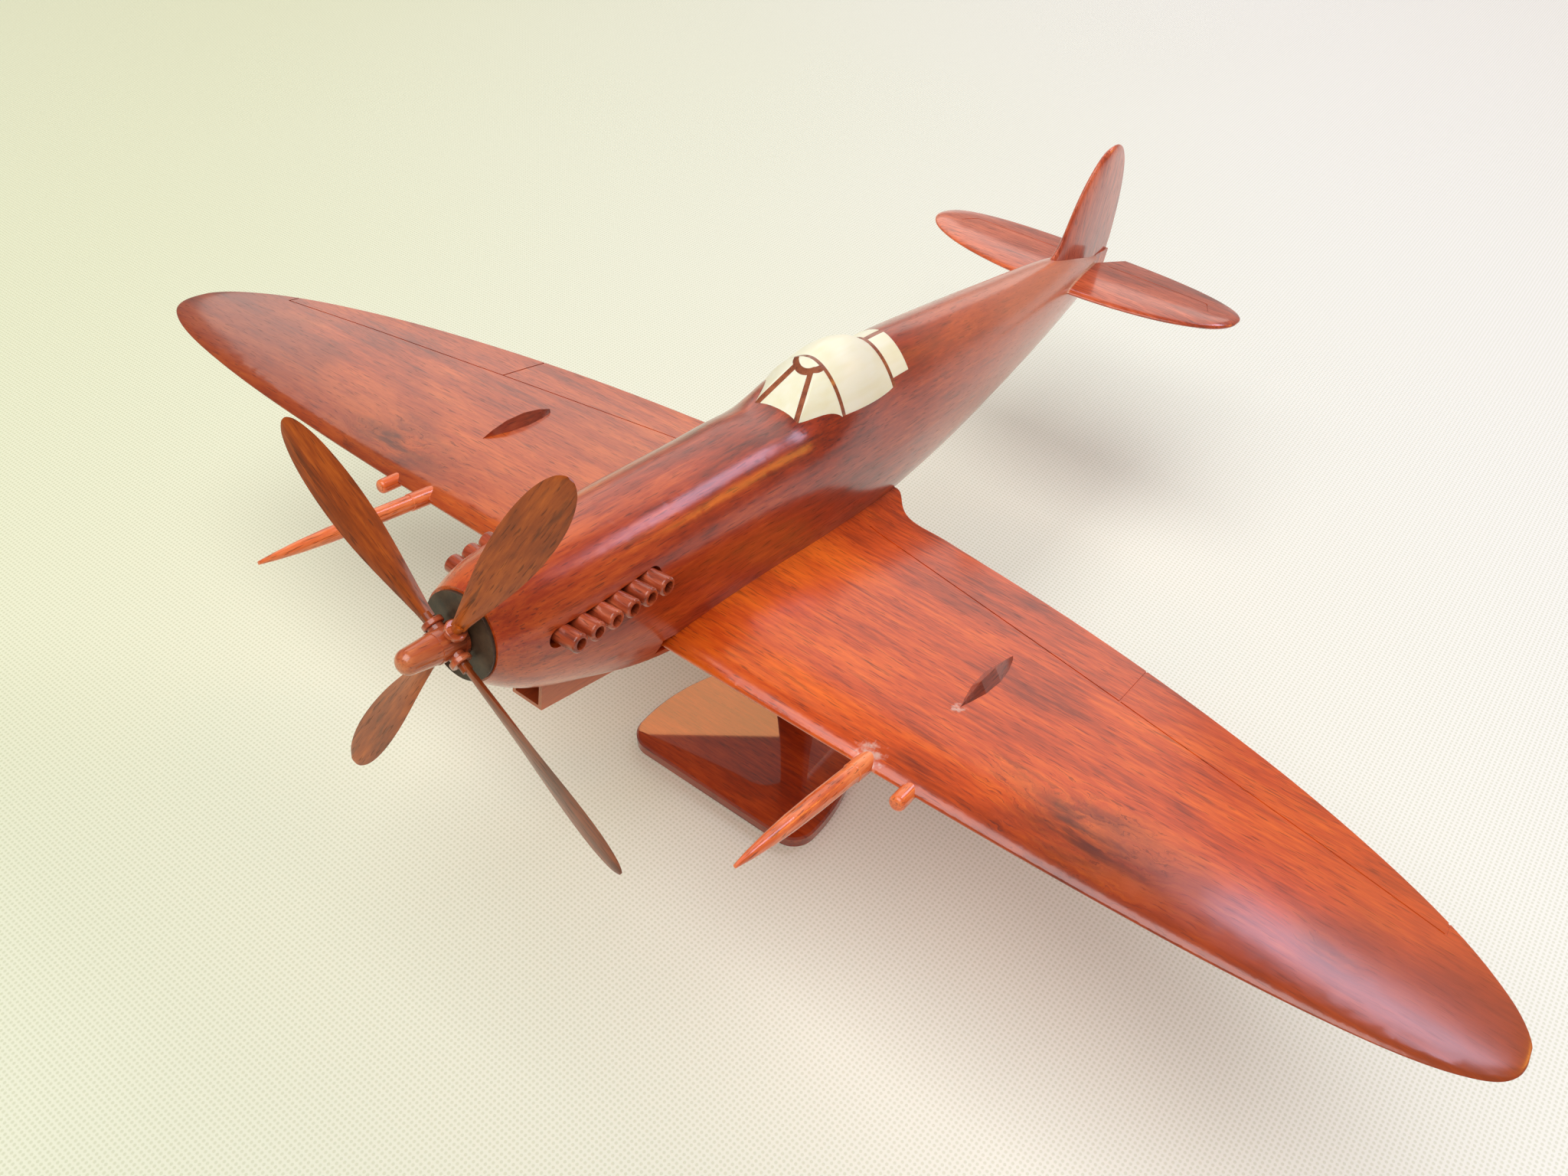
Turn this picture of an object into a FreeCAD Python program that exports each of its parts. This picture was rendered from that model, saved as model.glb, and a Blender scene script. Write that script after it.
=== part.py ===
import FreeCAD, Part
import math
import os
import re

import Sketcher
from FreeCAD import Placement, Rotation, Vector

# Carved wooden desk model of a single-engine monoplane fighter on a stand.
#
# World frame: +Z up, origin on the underside of the base plate at its centre,
# nose towards -Y, port wing towards +X.
# Aircraft frame: origin at the propeller centre, x to port, y aft, z up and level
# with the wing; it is pitched nose-up on the stand.
# Thrust frame: origin at the propeller centre, its y axis is the propeller's axis.

X_AXIS = Vector(1, 0, 0)
Y_AXIS = Vector(0, 1, 0)
Z_AXIS = Vector(0, 0, 1)
SIDES = {"port": 1, "starboard": -1}

SIZES = {
    # stand
    "base_side_radius": (67.0, "radius of the two long sides of the base plate"),
    "base_side_offset": (27.1, "distance of each side's arc centre from the middle"),
    "base_widest_from_front": (13.5, "front edge to the widest line of the base"),
    "base_front_y": (-36.6, "front edge of the base plate"),
    "base_thickness": (4.6, "base plate thickness"),
    "base_corner_radius": (9.0, "plan radius of the front corners"),
    "base_tail_radius": (13.0, "plan radius of the rear end"),
    "base_edge_chamfer": (0.7, "broken top edge of the base"),
    "post_foot_length": (18.0, "post size along Y at the base"),
    "post_foot_width": (17.0, "post size along X at the base"),
    "post_top_radius": (6.5, "post radius at its head"),
    "neck_radius": (5.0, "round neck that enters the belly"),
    "neck_height": (5.2, "height of the neck above the post's head"),
    "neck_clearance": (0.4, "radial gap round the neck"),
    "peg_radius": (2.0, "stand peg radius"),
    "peg_in_post": (12.0, "peg length held by the post"),
    "peg_in_belly": (12.0, "peg length inside the fuselage"),
    "peg_clearance": (0.05, "radial running clearance of the peg in the fuselage"),
    "peg_tip_gap": (1.0, "air above the peg's tip"),
    "screw_radius": (1.75, "post screw shank radius"),
    "screw_length": (22.0, "post screw length"),
    "screw_head_radius": (3.4, "post screw head radius"),
    "screw_head_depth": (1.9, "depth of the countersunk head"),
    "screw_sink": (0.4, "depth of the screw head below the underside"),
    "screw_slot_width": (0.9, "driver slot width"),
    "screw_slot_depth": (0.8, "driver slot depth"),
    # attitude
    "propeller_y": (-126.4, "propeller centre ahead of the base centre"),
    "propeller_z": (159.6, "propeller centre above the underside"),
    "aircraft_pitch": (11.0, "nose-up attitude of the wing plane, degrees"),
    "thrust_tilt": (4.1, "nose-up tilt of the propeller axis to the wing plane, degrees"),
    "seat_y": (152.0, "stand socket behind the propeller centre"),
    "seat_z": (-35.5, "flat seat of the stand inside the belly"),
    # propeller
    "propeller_radius": (66.0, "blade tip radius"),
    "hub_radius": (4.0, "hub barrel radius"),
    "hub_front": (4.0, "hub barrel ahead of the blade plane"),
    "hub_back": (2.4, "hub barrel behind the blade plane"),
    "socket_radius": (2.0, "blade socket outer radius"),
    "socket_reach": (6.2, "blade socket length from the hub axis"),
    "ferrule_radius": (2.75, "outer radius of the ring on each blade socket"),
    "ferrule_length": (1.5, "ring length along the blade"),
    "ferrule_round": (0.35, "rounded edges of the ring"),
    "shank_radius": (1.35, "blade shank radius"),
    "shank_seat": (2.6, "inner end of the blade shank"),
    "blade_chord": (12.2, "widest blade chord"),
    "blade_root_chord": (3.6, "blade chord at its root"),
    "blade_thickness": (2.2, "blade thickness at its root"),
    "blade_tip_thickness": (0.9, "blade thickness at its tip"),
    "blade_pitch": (17.0, "pitch of the blades at seven tenths of their length, degrees"),
    "blade_twist": (16.0, "twist from root to tip, degrees"),
    "bullet_length": (9.8, "nose bullet ahead of the hub barrel"),
    "bullet_radius": (3.8, "nose bullet radius at the hub"),
    "bullet_tip_radius": (2.95, "nose bullet radius where the dome starts"),
    "boss_radius": (4.5, "rear boss radius"),
    "boss_gap": (0.3, "running gap between boss and nose plate"),
    "shaft_radius": (1.5, "propeller shaft radius"),
    "shaft_clearance": (0.05, "radial running clearance of the shaft"),
    "shaft_length": (26.0, "shaft length behind the hub barrel's front"),
    "shaft_end_gap": (1.0, "air behind the shaft"),
    "plate_front": (3.6, "front face of the nose plate behind the blade plane"),
    "plate_thickness": (0.9, "nose plate thickness"),
    "plate_radius": (11.3, "nose plate radius"),
    # fuselage fittings
    "intake_half_width": (5.2, "half width of the chin intake"),
    "intake_front": (26.0, "mouth of the chin intake"),
    "intake_back": (62.0, "rear end of the chin intake"),
    "intake_floor_front": (-34.4, "intake underside at the mouth"),
    "intake_floor_back": (-38.6, "intake underside at its rear end"),
    "intake_wall": (1.1, "intake wall thickness"),
    "intake_depth": (11.0, "depth of the intake mouth"),
    "exhaust_floor_x": (13.4, "floor of the exhaust slot from the middle plane"),
    "exhaust_first_y": (21.0, "mouth of the first exhaust stub"),
    "exhaust_pitch": (5.8, "spacing of the exhaust stubs"),
    "exhaust_z": (0.6, "height of the first exhaust mouth"),
    "exhaust_mouth_x": (22.0, "reach of the first exhaust mouth from the middle plane"),
    "exhaust_radius": (2.6, "exhaust stub radius"),
    "exhaust_bore": (1.55, "exhaust bore radius"),
    "exhaust_bore_depth": (3.2, "exhaust bore depth"),
    "exhaust_rim": (0.7, "rounded rim of the exhaust stub"),
    "exhaust_seat": (1.6, "depth of the stub's seat below the slot floor"),
    "exhaust_lean": (4.0, "upward lean of the stubs, degrees"),
    "exhaust_rise": (5.0, "upward slope of the exhaust row towards the tail, degrees"),
    "exhaust_toe": (3.0, "outward lean of the exhaust row, degrees"),
    "exhaust_slot_height": (5.6, "height of the exhaust slot"),
    "exhaust_slot_margin": (4.0, "slot beyond the first and last stub"),
    # wings
    "wing_half_span": (235.0, "wing tip from the middle plane"),
    "wing_plane_z": (-26.6, "height of the wing's chord plane"),
    "wing_peak_y": (92.2, "wing tip position along the fuselage"),
    "wing_front_depth": (31.2, "leading edge ahead of the tip line at the root"),
    "wing_rear_depth": (75.2, "trailing edge behind the tip line at the root"),
    "wing_root_x": (13.5, "root face of each wing inside the fuselage slot"),
    "wing_thickness": (11.6, "wing thickness at the root"),
    "wing_tip_thickness": (3.4, "wing thickness near the tip"),
    "wing_edge": (0.9, "trailing edge thickness"),
    "groove_width": (0.5, "width of the scribed lines of flaps, ailerons and elevators"),
    "groove_depth": (0.3, "depth of the scribed lines"),
    "hinge_x": (119.3, "line between flap and aileron from the middle plane"),
    "hinge_y": (130.8, "hinge line at the end of the flap"),
    "flap_root_x": (24.0, "inner end of the flap line"),
    "flap_root_y": (150.0, "hinge line at the flap's inner end"),
    "aileron_tip_x": (212.0, "outer end of the aileron line"),
    "aileron_tip_y": (112.0, "hinge line at the aileron's outer end"),
    "root_fillet_width": (17.0, "spanwise width of the trailing edge root fillet"),
    "root_fillet_reach": (12.0, "length of the trailing edge root fillet"),
    "wing_slot_overrun": (1.6, "open slot left ahead of the leading edge"),
    "cannon_x": (80.4, "cannon from the middle plane"),
    "cannon_root_radius": (2.7, "cannon root radius"),
    "cannon_root_length": (5.0, "cannon root ahead of the leading edge"),
    "cannon_root_seat": (5.0, "cannon root inside the wing"),
    "cannon_length_port": (53.0, "port cannon tip ahead of the leading edge"),
    "cannon_length_starboard": (55.8, "starboard cannon tip ahead of the leading edge"),
    "cannon_spigot": (4.0, "barrel length inside its root"),
    "cannon_spigot_radius": (1.4, "barrel spigot radius"),
    "cannon_barrel_radius": (2.45, "barrel radius"),
    "cannon_tip_radius": (0.5, "barrel tip radius"),
    "cannon_rise_port": (7.5, "upward lean of the port cannon, degrees"),
    "cannon_rise_starboard": (3.2, "upward lean of the starboard cannon, degrees"),
    "stub_x": (93.6, "gun stub from the middle plane"),
    "stub_radius": (2.25, "gun stub radius"),
    "stub_length": (5.4, "gun stub ahead of the leading edge"),
    "stub_seat": (5.0, "gun stub inside the wing"),
    "stub_drop": (0.6, "gun stub below the chord plane"),
    "blister_x": (89.2, "blister from the middle plane"),
    "blister_front": (93.0, "front point of the blister"),
    "blister_length": (31.0, "blister length"),
    "blister_width": (6.6, "blister width"),
    "blister_height": (3.4, "blister ridge above the wing"),
    # tail
    "tail_peak_y": (336.0, "tailplane tip position along the fuselage"),
    "tail_half_span": (67.6, "tailplane tip from the middle plane"),
    "tail_z": (8.3, "height of the tailplane"),
    "tail_front_depth": (33.0, "tailplane leading edge ahead of its tip line"),
    "tail_rear_depth": (21.1, "tailplane trailing edge behind its tip line"),
    "tail_thickness": (4.0, "tailplane thickness at the root"),
    "tail_root_x": (2.6, "root face of each tailplane inside the fuselage"),
    "tail_cut_y": (339.7, "inner end of the rudder cut-out"),
    "tail_cut_x": (11.0, "outer end of the rudder cut-out"),
    "elevator_y": (341.5, "scribed elevator hinge line"),
    "elevator_root_x": (9.4, "inner end of the elevator line"),
    "elevator_tip_x": (52.5, "outer end of the straight elevator line"),
    "elevator_horn_x": (56.0, "outer end of the elevator horn line"),
    "elevator_horn_y": (333.0, "front end of the elevator horn line"),
    "fin_base_z": (9.2, "height where the fin's outline starts"),
    "fin_height": (48.2, "fin above its base"),
    "fin_front_depth": (29.8, "fin leading edge ahead of its tip line"),
    "fin_rear_depth": (21.6, "rudder edge behind the tip line"),
    "fin_thickness": (4.4, "fin thickness at its root"),
    "fin_foot_reach": (10.0, "length of the curved foot of the fin"),
    "fin_foot_height": (12.0, "height of the curved foot of the fin"),
    "rudder_heel_z": (-5.0, "lower end of the rudder"),
    # canopy
    "screen_foot_y": (123.0, "lower corners of the flat windscreen"),
    "screen_foot_z": (15.4, "height of those corners"),
    "screen_foot_x": (7.3, "half width of the flat windscreen at its foot"),
    "screen_head_y": (134.5, "upper corners of the flat windscreen"),
    "screen_head_z": (26.5, "height of the upper corners"),
    "screen_head_x": (2.6, "half width of the flat windscreen at its head"),
    "front_arch_y": (137.7, "front hood arch"),
    "rear_arch_y": (166.8, "rear hood arch"),
    "window_back_y": (176.8, "rear end of the rear windows"),
    "hood_crest_y": (149.0, "highest point of the hood"),
    "hood_crest_z": (31.0, "height of the hood crest"),
    "front_arch_z": (28.8, "height of the front arch"),
    "canopy_floor_z": (13.0, "floor of the windscreen's pocket"),
    "sill_front_z": (15.8, "hood sill at the front arch"),
    "sill_rear_z": (15.2, "hood sill at the rear arch"),
    "window_sill_z": (17.3, "lower edge of the rear windows"),
    "strip_width": (1.65, "width of the inlaid canopy strips"),
    "lens_half_width": (4.5, "half width of the small top panel"),
    "lens_depth": (4.0, "length of the small top panel ahead of the arch"),
    # cutting tools
    "beyond": (60.0, "how far a cutting block reaches past the aircraft's middle"),
}

# Oval sections of the carved fuselage block: distance aft of the propeller centre,
# half width, top, bottom, height of the widest line, and the fullness exponents of
# the upper and lower halves (2 is an ellipse, more is squarer).
FUSELAGE_SECTIONS = (
    (2.0, 11.0, 11.1, -11.1, 0.0, 2.0, 2.0),
    (16.5, 15.8, 14.2, -21.6, -0.9, 2.1, 2.1),
    (36.7, 18.0, 14.9, -30.6, -1.8, 2.2, 2.2),
    (64.3, 18.8, 15.3, -39.4, -3.7, 2.4, 2.5),
    (96.4, 19.1, 15.8, -42.0, -5.5, 2.5, 2.8),
    (123.0, 19.4, 16.3, -41.2, -5.5, 2.6, 2.8),
    (137.7, 19.5, 22.0, -40.2, -5.5, 2.5, 2.6),
    (168.0, 19.7, 25.8, -37.2, -4.6, 1.75, 2.3),
    (211.0, 18.5, 23.6, -32.0, -2.6, 1.85, 2.1),
    (257.0, 15.0, 21.0, -23.2, 0.4, 1.95, 2.0),
    (303.0, 10.0, 18.6, -12.6, 3.2, 2.0, 2.0),
    (345.0, 3.9, 11.4, -2.6, 4.6, 2.0, 2.0),
)
HOOD_CROWN = 1.8
SCREEN_SECTION = (13.1, 21.0)

# Fullness exponents of the front and rear outlines of the flying surfaces.
WING_FULLNESS = (3.3, 1.65)
TAIL_FULLNESS = (2.05, 2.6)
FIN_FULLNESS = (1.9, 2.2)

# Where the loft sections stand, as shares of each surface's own reach.
WING_STATIONS = (0.24, 0.38, 0.52, 0.65, 0.77, 0.86, 0.93, 0.97, 0.99, 0.9975, 0.9995)
TAIL_STATIONS = (0.2, 0.4, 0.58, 0.74, 0.86, 0.94, 0.985, 0.998)
FIN_STATIONS = (0.0, 0.12, 0.25, 0.45, 0.62, 0.77, 0.88, 0.95, 0.985, 0.998)
BLADE_STATIONS = (0.0, 0.08, 0.22, 0.4, 0.58, 0.74, 0.86, 0.94, 0.98, 0.997)
BLISTER_STATIONS = (0.02, 0.15, 0.35, 0.6, 0.82, 0.98)

# Blade directions in the blade disc, degrees.
BLADE_ANGLES = {"a": 151.0, "b": 61.0, "c": 240.0, "d": 332.0}
EXHAUST_COUNT = 6

doc = FreeCAD.newDocument("desk_fighter")
sheet = doc.addObject("Spreadsheet::Sheet", "Sizes")
pieces = []


def fill_sheet():
    """Write every driving size into the spreadsheet with its alias."""
    for row, (alias, (value, meaning)) in enumerate(SIZES.items(), start=1):
        sheet.set(f"A{row}", meaning)
        sheet.set(f"B{row}", str(value))
        sheet.setAlias(f"B{row}", alias)
    doc.recompute()


def size(alias):
    """Read one driving size."""
    return float(getattr(sheet, alias))


def bound(expression):
    """Turn plain size names into spreadsheet references."""
    return re.sub(r"[a-z][a-z_]*", lambda match: "Sizes." + match.group(), expression)


def number(expression):
    """Work out an expression of size names."""
    return float(sheet.evalExpression(bound(expression)))


def keep(item, name):
    """Register a finished sub-part under its node name."""
    item.Label = name
    pieces.append(item)
    return item


def shaped(name, shape, frame):
    """Add a carved piece whose shape was made by Part functions."""
    item = doc.addObject("Part::Feature", name)
    item.Shape = shape
    item.Placement = frame
    return keep(item, name)


def primitive(kind, name, frame, **expressions):
    """Add a Part primitive whose dimensions follow the spreadsheet."""
    item = doc.addObject("Part::" + kind, name)
    for prop, expression in expressions.items():
        item.setExpression(prop, bound(expression))
    item.Placement = frame
    return item


def cut(name, base, tools):
    """Cut several tools from a base, one boolean after another."""
    result = base
    for index, tool in enumerate(tools, start=1):
        step = doc.addObject("Part::Cut", f"{name}_cut_{index}")
        step.Base = result
        step.Tool = tool
        result = step
    return result


def place_corner(sketch, index, kind, axis, expression):
    """Pin one coordinate of a sketch corner to the spreadsheet."""
    if expression == "0":
        sketch.addConstraint(Sketcher.Constraint("PointOnObject", index, 1, axis))
        return
    datum = Sketcher.Constraint(kind, -1, 1, index, 1, number(expression))
    row = sketch.addConstraint(datum)
    sketch.setExpression(f"Constraints[{row}]", bound(expression))


def outline(body, name, role, corners):
    """Draw a closed outline of straight lines with every corner bound to sizes."""
    sketch = body.newObject("Sketcher::SketchObject", name)
    plane = next(item for item in body.Origin.OriginFeatures if item.Role == role)
    sketch.AttachmentSupport = [(plane, "")]
    sketch.MapMode = "FlatFace"
    points = [Vector(number(x), number(y), 0) for x, y in corners]
    count = len(points)
    for index, point in enumerate(points):
        sketch.addGeometry(Part.LineSegment(point, points[(index + 1) % count]))
    for index in range(count):
        sketch.addConstraint(Sketcher.Constraint("Coincident", index, 2, (index + 1) % count, 1))
    for index, (x, y) in enumerate(corners):
        place_corner(sketch, index, "DistanceX", -2, x)
        place_corner(sketch, index, "DistanceY", -1, y)
    return sketch


def rings(shape, y, radius):
    """Names of the circular edges round the Y axis at one station and radius."""
    names = []
    for index, edge in enumerate(shape.Edges, start=1):
        curve = edge.Curve
        if not isinstance(curve, Part.Circle):
            continue
        if abs(curve.Center.y - y) < 1e-3 and abs(curve.Radius - radius) < 1e-3:
            names.append(f"Edge{index}")
    return names


def turned(name, corners, frame, rounds=()):
    """Turn a profile of (radius, y) corners about the piece's own Y axis.

    rounds lists (y, radius, fillet radius) expressions of edges to round.
    """
    body = doc.addObject("PartDesign::Body", name)
    profile = outline(body, name + "_profile", "XY_Plane", corners)
    turn = body.newObject("PartDesign::Revolution", name + "_turn")
    turn.Profile = profile
    turn.ReferenceAxis = (profile, ["V_Axis"])
    turn.Angle = 360.0
    doc.recompute()
    for index, (y, radius, fillet) in enumerate(rounds, start=1):
        base = body.Tip
        rounding = body.newObject("PartDesign::Fillet", f"{name}_round_{index}")
        rounding.Base = (base, rings(base.Shape, number(y), number(radius)))
        rounding.setExpression("Radius", bound(fillet))
        doc.recompute()
    body.Placement = frame
    return keep(body, name)


def aircraft_frame():
    """Placement of the aircraft frame on the stand."""
    pitch = Rotation(X_AXIS, -size("aircraft_pitch"))
    return Placement(Vector(0, size("propeller_y"), size("propeller_z")), pitch)


def thrust_frame():
    """Placement of the frame whose y axis is the propeller's axis."""
    return aircraft_frame() * Placement(Vector(), Rotation(X_AXIS, -size("thrust_tilt")))


def aimed(origin, direction):
    """Placement in the aircraft frame whose y axis points along a direction."""
    return aircraft_frame() * Placement(origin, Rotation(Y_AXIS, direction))


def power(value, exponent):
    """Signed power, for superellipse outlines."""
    return math.copysign(abs(value) ** exponent, value)


def spline_wire(points, closed):
    """Smooth curve through points; an open one is closed by a straight edge."""
    curve = Part.BSplineCurve()
    curve.interpolate(points, PeriodicFlag=closed)
    edges = [curve.toShape()]
    if not closed:
        edges.append(Part.makeLine(points[-1], points[0]))
    return Part.Wire(edges)


def oval(y, half_width, top, bottom, waist, crown, keel):
    """Closed fuselage-like section across the y axis."""
    count = 28
    points = []
    for step in range(count):
        angle = 2 * math.pi * step / count
        across, up = math.cos(angle), math.sin(angle)
        fullness = crown if up >= 0 else keel
        reach = top - waist if up >= 0 else waist - bottom
        x = half_width * power(across, 2 / fullness)
        points.append(Vector(x, y, waist + reach * power(up, 2 / fullness)))
    return spline_wire(points, True)


def loft(wires, ruled=False):
    """Solid loft with outward faces."""
    solid = Part.makeLoft(wires, True, ruled)
    if solid.Volume < 0:
        solid.reverse()
    return solid


def block(low, high):
    """Box between two corners."""
    return Part.makeBox(high[0] - low[0], high[1] - low[1], high[2] - low[2], Vector(*low))


def rod(start, end, radius):
    """Cylinder between two points."""
    return Part.makeCylinder(radius, (end - start).Length, start, end - start)


def depth_at(share, full_depth, fullness):
    """Depth of a superellipse outline at a share of its span."""
    return full_depth * max(0.0, 1 - share ** fullness) ** (1 / fullness)


def airfoil(front, back, thickness, edge, place):
    """Closed section from front to back; place(y, height) gives the 3-D point."""
    chord = back - front
    steps = 12
    upper = []
    for step in range(steps + 1):
        share = (1 - math.cos(math.pi * step / steps)) / 2
        body = 1.4845 * math.sqrt(share) - 0.63 * share - 1.758 * share ** 2
        body += 1.4215 * share ** 3 - 0.518 * share ** 4
        half = thickness * body + edge * share / 2
        upper.append((front + chord * share, half))
    points = [place(y, half) for y, half in reversed(upper)]
    points += [place(y, -half) for y, half in upper[1:]]
    return spline_wire(points, False)


def wing_edges(x):
    """Leading and trailing edge of the wing at a distance from the middle."""
    share = x / size("wing_half_span")
    front = size("wing_peak_y") - depth_at(share, size("wing_front_depth"), WING_FULLNESS[0])
    back = size("wing_peak_y") + depth_at(share, size("wing_rear_depth"), WING_FULLNESS[1])
    inner = fuselage_side_x()
    left = 1 - (x - inner) / size("root_fillet_width")
    if left > 0:
        back += size("root_fillet_reach") * left ** 2
    return front, back


def fuselage_side_x():
    """Half width of the fuselage where the wings enter it."""
    y, half_width, top, bottom, waist, crown, keel = FUSELAGE_SECTIONS[4]
    share = (waist - size("wing_plane_z")) / (waist - bottom)
    return half_width * (1 - share ** keel) ** (1 / keel)


def wing_thickness(x):
    """Wing thickness at a distance from the middle."""
    share = x / size("wing_half_span")
    tip = size("wing_tip_thickness")
    return tip + (size("wing_thickness") - tip) * (1 - share)


def wing_blank(side):
    """One wing half before its fittings are let in."""
    half_span = size("wing_half_span")
    plane = size("wing_plane_z")
    wires = []
    start = size("wing_root_x")
    inner = fuselage_side_x()
    near = [start, inner, inner + size("root_fillet_width") / 3, inner + size("root_fillet_width")]
    far = [half_span * share for share in WING_STATIONS]
    for x in near + far:
        front, back = wing_edges(max(x, inner))
        share = (back - front) / (size("wing_front_depth") + size("wing_rear_depth"))
        thickness = min(wing_thickness(x), wing_thickness(x) * share * 1.6)
        edge = min(size("wing_edge"), thickness / 3)
        place = lambda y, up: Vector(side * x, y, plane + up)
        wires.append(airfoil(front, back, thickness, edge, place))
    return loft(wires)


def tail_blank(side):
    """One tailplane half."""
    half_span = size("tail_half_span")
    peak = size("tail_peak_y")
    wires = []
    for share in (size("tail_root_x") / half_span,) + TAIL_STATIONS:
        front = peak - depth_at(share, size("tail_front_depth"), TAIL_FULLNESS[0])
        back = peak + depth_at(share, size("tail_rear_depth"), TAIL_FULLNESS[1])
        shrink = (back - front) / (size("tail_front_depth") + size("tail_rear_depth"))
        thickness = size("tail_thickness") * (0.4 + 0.6 * shrink) * min(1, shrink * 3)
        edge = thickness / 5
        place = lambda y, up: Vector(side * share * half_span, y, size("tail_z") + up)
        wires.append(airfoil(front, back, thickness, edge, place))
    return loft(wires)


def scribed(blank, paths, plane):
    """Upper side of a blank with shallow grooves along paths of (x, y) points."""
    walls = []
    for path in paths:
        for (x, y), (next_x, next_y) in zip(path, path[1:]):
            start, end = Vector(x, y, plane), Vector(next_x, next_y, plane)
            half = (end - start).normalize().cross(Z_AXIS) * (size("groove_width") / 2)
            corners = [start - half, end - half, end + half, start + half]
            face = Part.Face(Part.makePolygon(corners + corners[:1]))
            walls.append(face.extrude(Z_AXIS * size("wing_thickness")))
    lowered = blank.copy()
    lowered.translate(-Z_AXIS * size("groove_depth"))
    return blank.cut(walls[0].multiFuse(walls[1:]).removeSplitter().cut(lowered))


def wing_lines(side):
    """Paths of the flap, divider and aileron lines on one wing."""
    hinge = (side * size("hinge_x"), size("hinge_y"))
    flap = (side * size("flap_root_x"), size("flap_root_y"))
    tip = (side * size("aileron_tip_x"), size("aileron_tip_y"))
    hinge_back = (hinge[0], wing_edges(size("hinge_x"))[1] + 1)
    tip_back = (tip[0], wing_edges(size("aileron_tip_x"))[1] + 1)
    return [[flap, hinge], [hinge, hinge_back], [hinge, tip, tip_back]]


def elevator_line(side):
    """Path of the elevator line on one tailplane."""
    return [
        (side * size("elevator_root_x"), size("elevator_y")),
        (side * size("elevator_tip_x"), size("elevator_y")),
        (side * size("elevator_horn_x"), size("elevator_horn_y")),
    ]


def rudder_notch(side):
    """Wedge taken out of a tailplane beside the rudder."""
    height = size("tail_thickness")
    low = size("tail_z") - height
    back = size("tail_peak_y") + size("tail_rear_depth") + 1
    root = side * (size("tail_root_x") - 1)
    corners = [
        Vector(root, size("tail_cut_y"), low),
        Vector(side * size("tail_root_x") * 1.6, size("tail_cut_y"), low),
        Vector(side * size("tail_cut_x"), back, low),
        Vector(root, back, low),
    ]
    face = Part.Face(Part.makePolygon(corners + corners[:1]))
    return face.extrude(Vector(0, 0, 2 * height))


def fin_blank():
    """Fin and rudder as one board, with the curved foot and the rudder's heel."""
    base = size("fin_base_z")
    height = size("fin_height")
    peak = size("tail_peak_y")
    foot = size("fin_foot_height")
    wires = []
    for share in FIN_STATIONS:
        rise = share * height
        front = peak - depth_at(share, size("fin_front_depth"), FIN_FULLNESS[0])
        front -= size("fin_foot_reach") * max(0.0, 1 - max(0.0, rise - foot / 2) / foot) ** 2
        back = peak + depth_at(share, size("fin_rear_depth"), FIN_FULLNESS[1])
        shrink = (back - front) / (size("fin_front_depth") + size("fin_rear_depth"))
        thickness = size("fin_thickness") * (0.45 + 0.55 * min(1, shrink)) * min(1, shrink * 3)
        place = lambda y, across: Vector(across, y, base + rise)
        wires.append(airfoil(front, back, thickness, thickness / 4, place))
    return loft(wires)


def rudder_heel():
    """Lower part of the rudder, behind the end of the fuselage."""
    start = FUSELAGE_SECTIONS[-1][0]
    back = size("tail_peak_y") + size("fin_rear_depth")
    heel = size("rudder_heel_z")
    top = size("fin_base_z") + 2
    half = size("fin_thickness") * 0.36
    corners = [(start, heel + 3), (start, top), (back - 0.2, top), (back - 1.2, heel + 4)]
    corners.append((back - 5, heel))
    points = [Vector(-half, y, z) for y, z in corners]
    return Part.Face(Part.makePolygon(points + points[:1])).extrude(Vector(2 * half, 0, 0))


def slopes(places, values):
    """Slopes of a smooth curve through points that never overshoots them."""
    steps = [(values[i + 1] - values[i]) / (places[i + 1] - places[i]) for i in range(len(places) - 1)]
    inner = [2 * a * b / (a + b) if a * b > 0 else 0.0 for a, b in zip(steps, steps[1:])]
    return [steps[0]] + inner + [steps[-1]]


def smooth_section(y):
    """Fuselage section at any station, blended between the given ones."""
    places = [section[0] for section in FUSELAGE_SECTIONS]
    index = max(i for i in range(len(places) - 1) if places[i] <= y)
    span = places[index + 1] - places[index]
    t = (y - places[index]) / span
    result = [y]
    for values in list(zip(*FUSELAGE_SECTIONS))[1:]:
        slope = slopes(places, values)
        value = (1 + 2 * t) * (1 - t) ** 2 * values[index] + t ** 2 * (3 - 2 * t) * values[index + 1]
        value += span * (t * (1 - t) ** 2 * slope[index] - t ** 2 * (1 - t) * slope[index + 1])
        result.append(value)
    return result


def fuselage_blank():
    """Carved fuselage block without slots and pockets."""
    places = [section[0] for section in FUSELAGE_SECTIONS]
    stations = []
    for start, end in zip(places, places[1:]):
        stations += [start, (start + end) / 2]
    return loft([oval(*smooth_section(y)) for y in stations + places[-1:]])


def exhaust_axis(side):
    """Direction of the exhaust stubs, from root to mouth."""
    lean = math.radians(size("exhaust_lean"))
    return Vector(side * math.cos(lean), 0, math.sin(lean))


def exhaust_places(side):
    """Mouth and root centre of each exhaust stub on one side."""
    axis = exhaust_axis(side)
    toe = math.tan(math.radians(size("exhaust_toe")))
    rise = math.tan(math.radians(size("exhaust_rise")))
    places = []
    for index in range(EXHAUST_COUNT):
        along = index * size("exhaust_pitch")
        reach = size("exhaust_mouth_x") + along * toe
        height = size("exhaust_z") + along * rise
        mouth = Vector(side * reach, size("exhaust_first_y") + along, height)
        depth = size("exhaust_mouth_x") - size("exhaust_floor_x") + size("exhaust_seat")
        root = mouth - axis * (depth / abs(axis.x))
        places.append((mouth, root))
    return places


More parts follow.
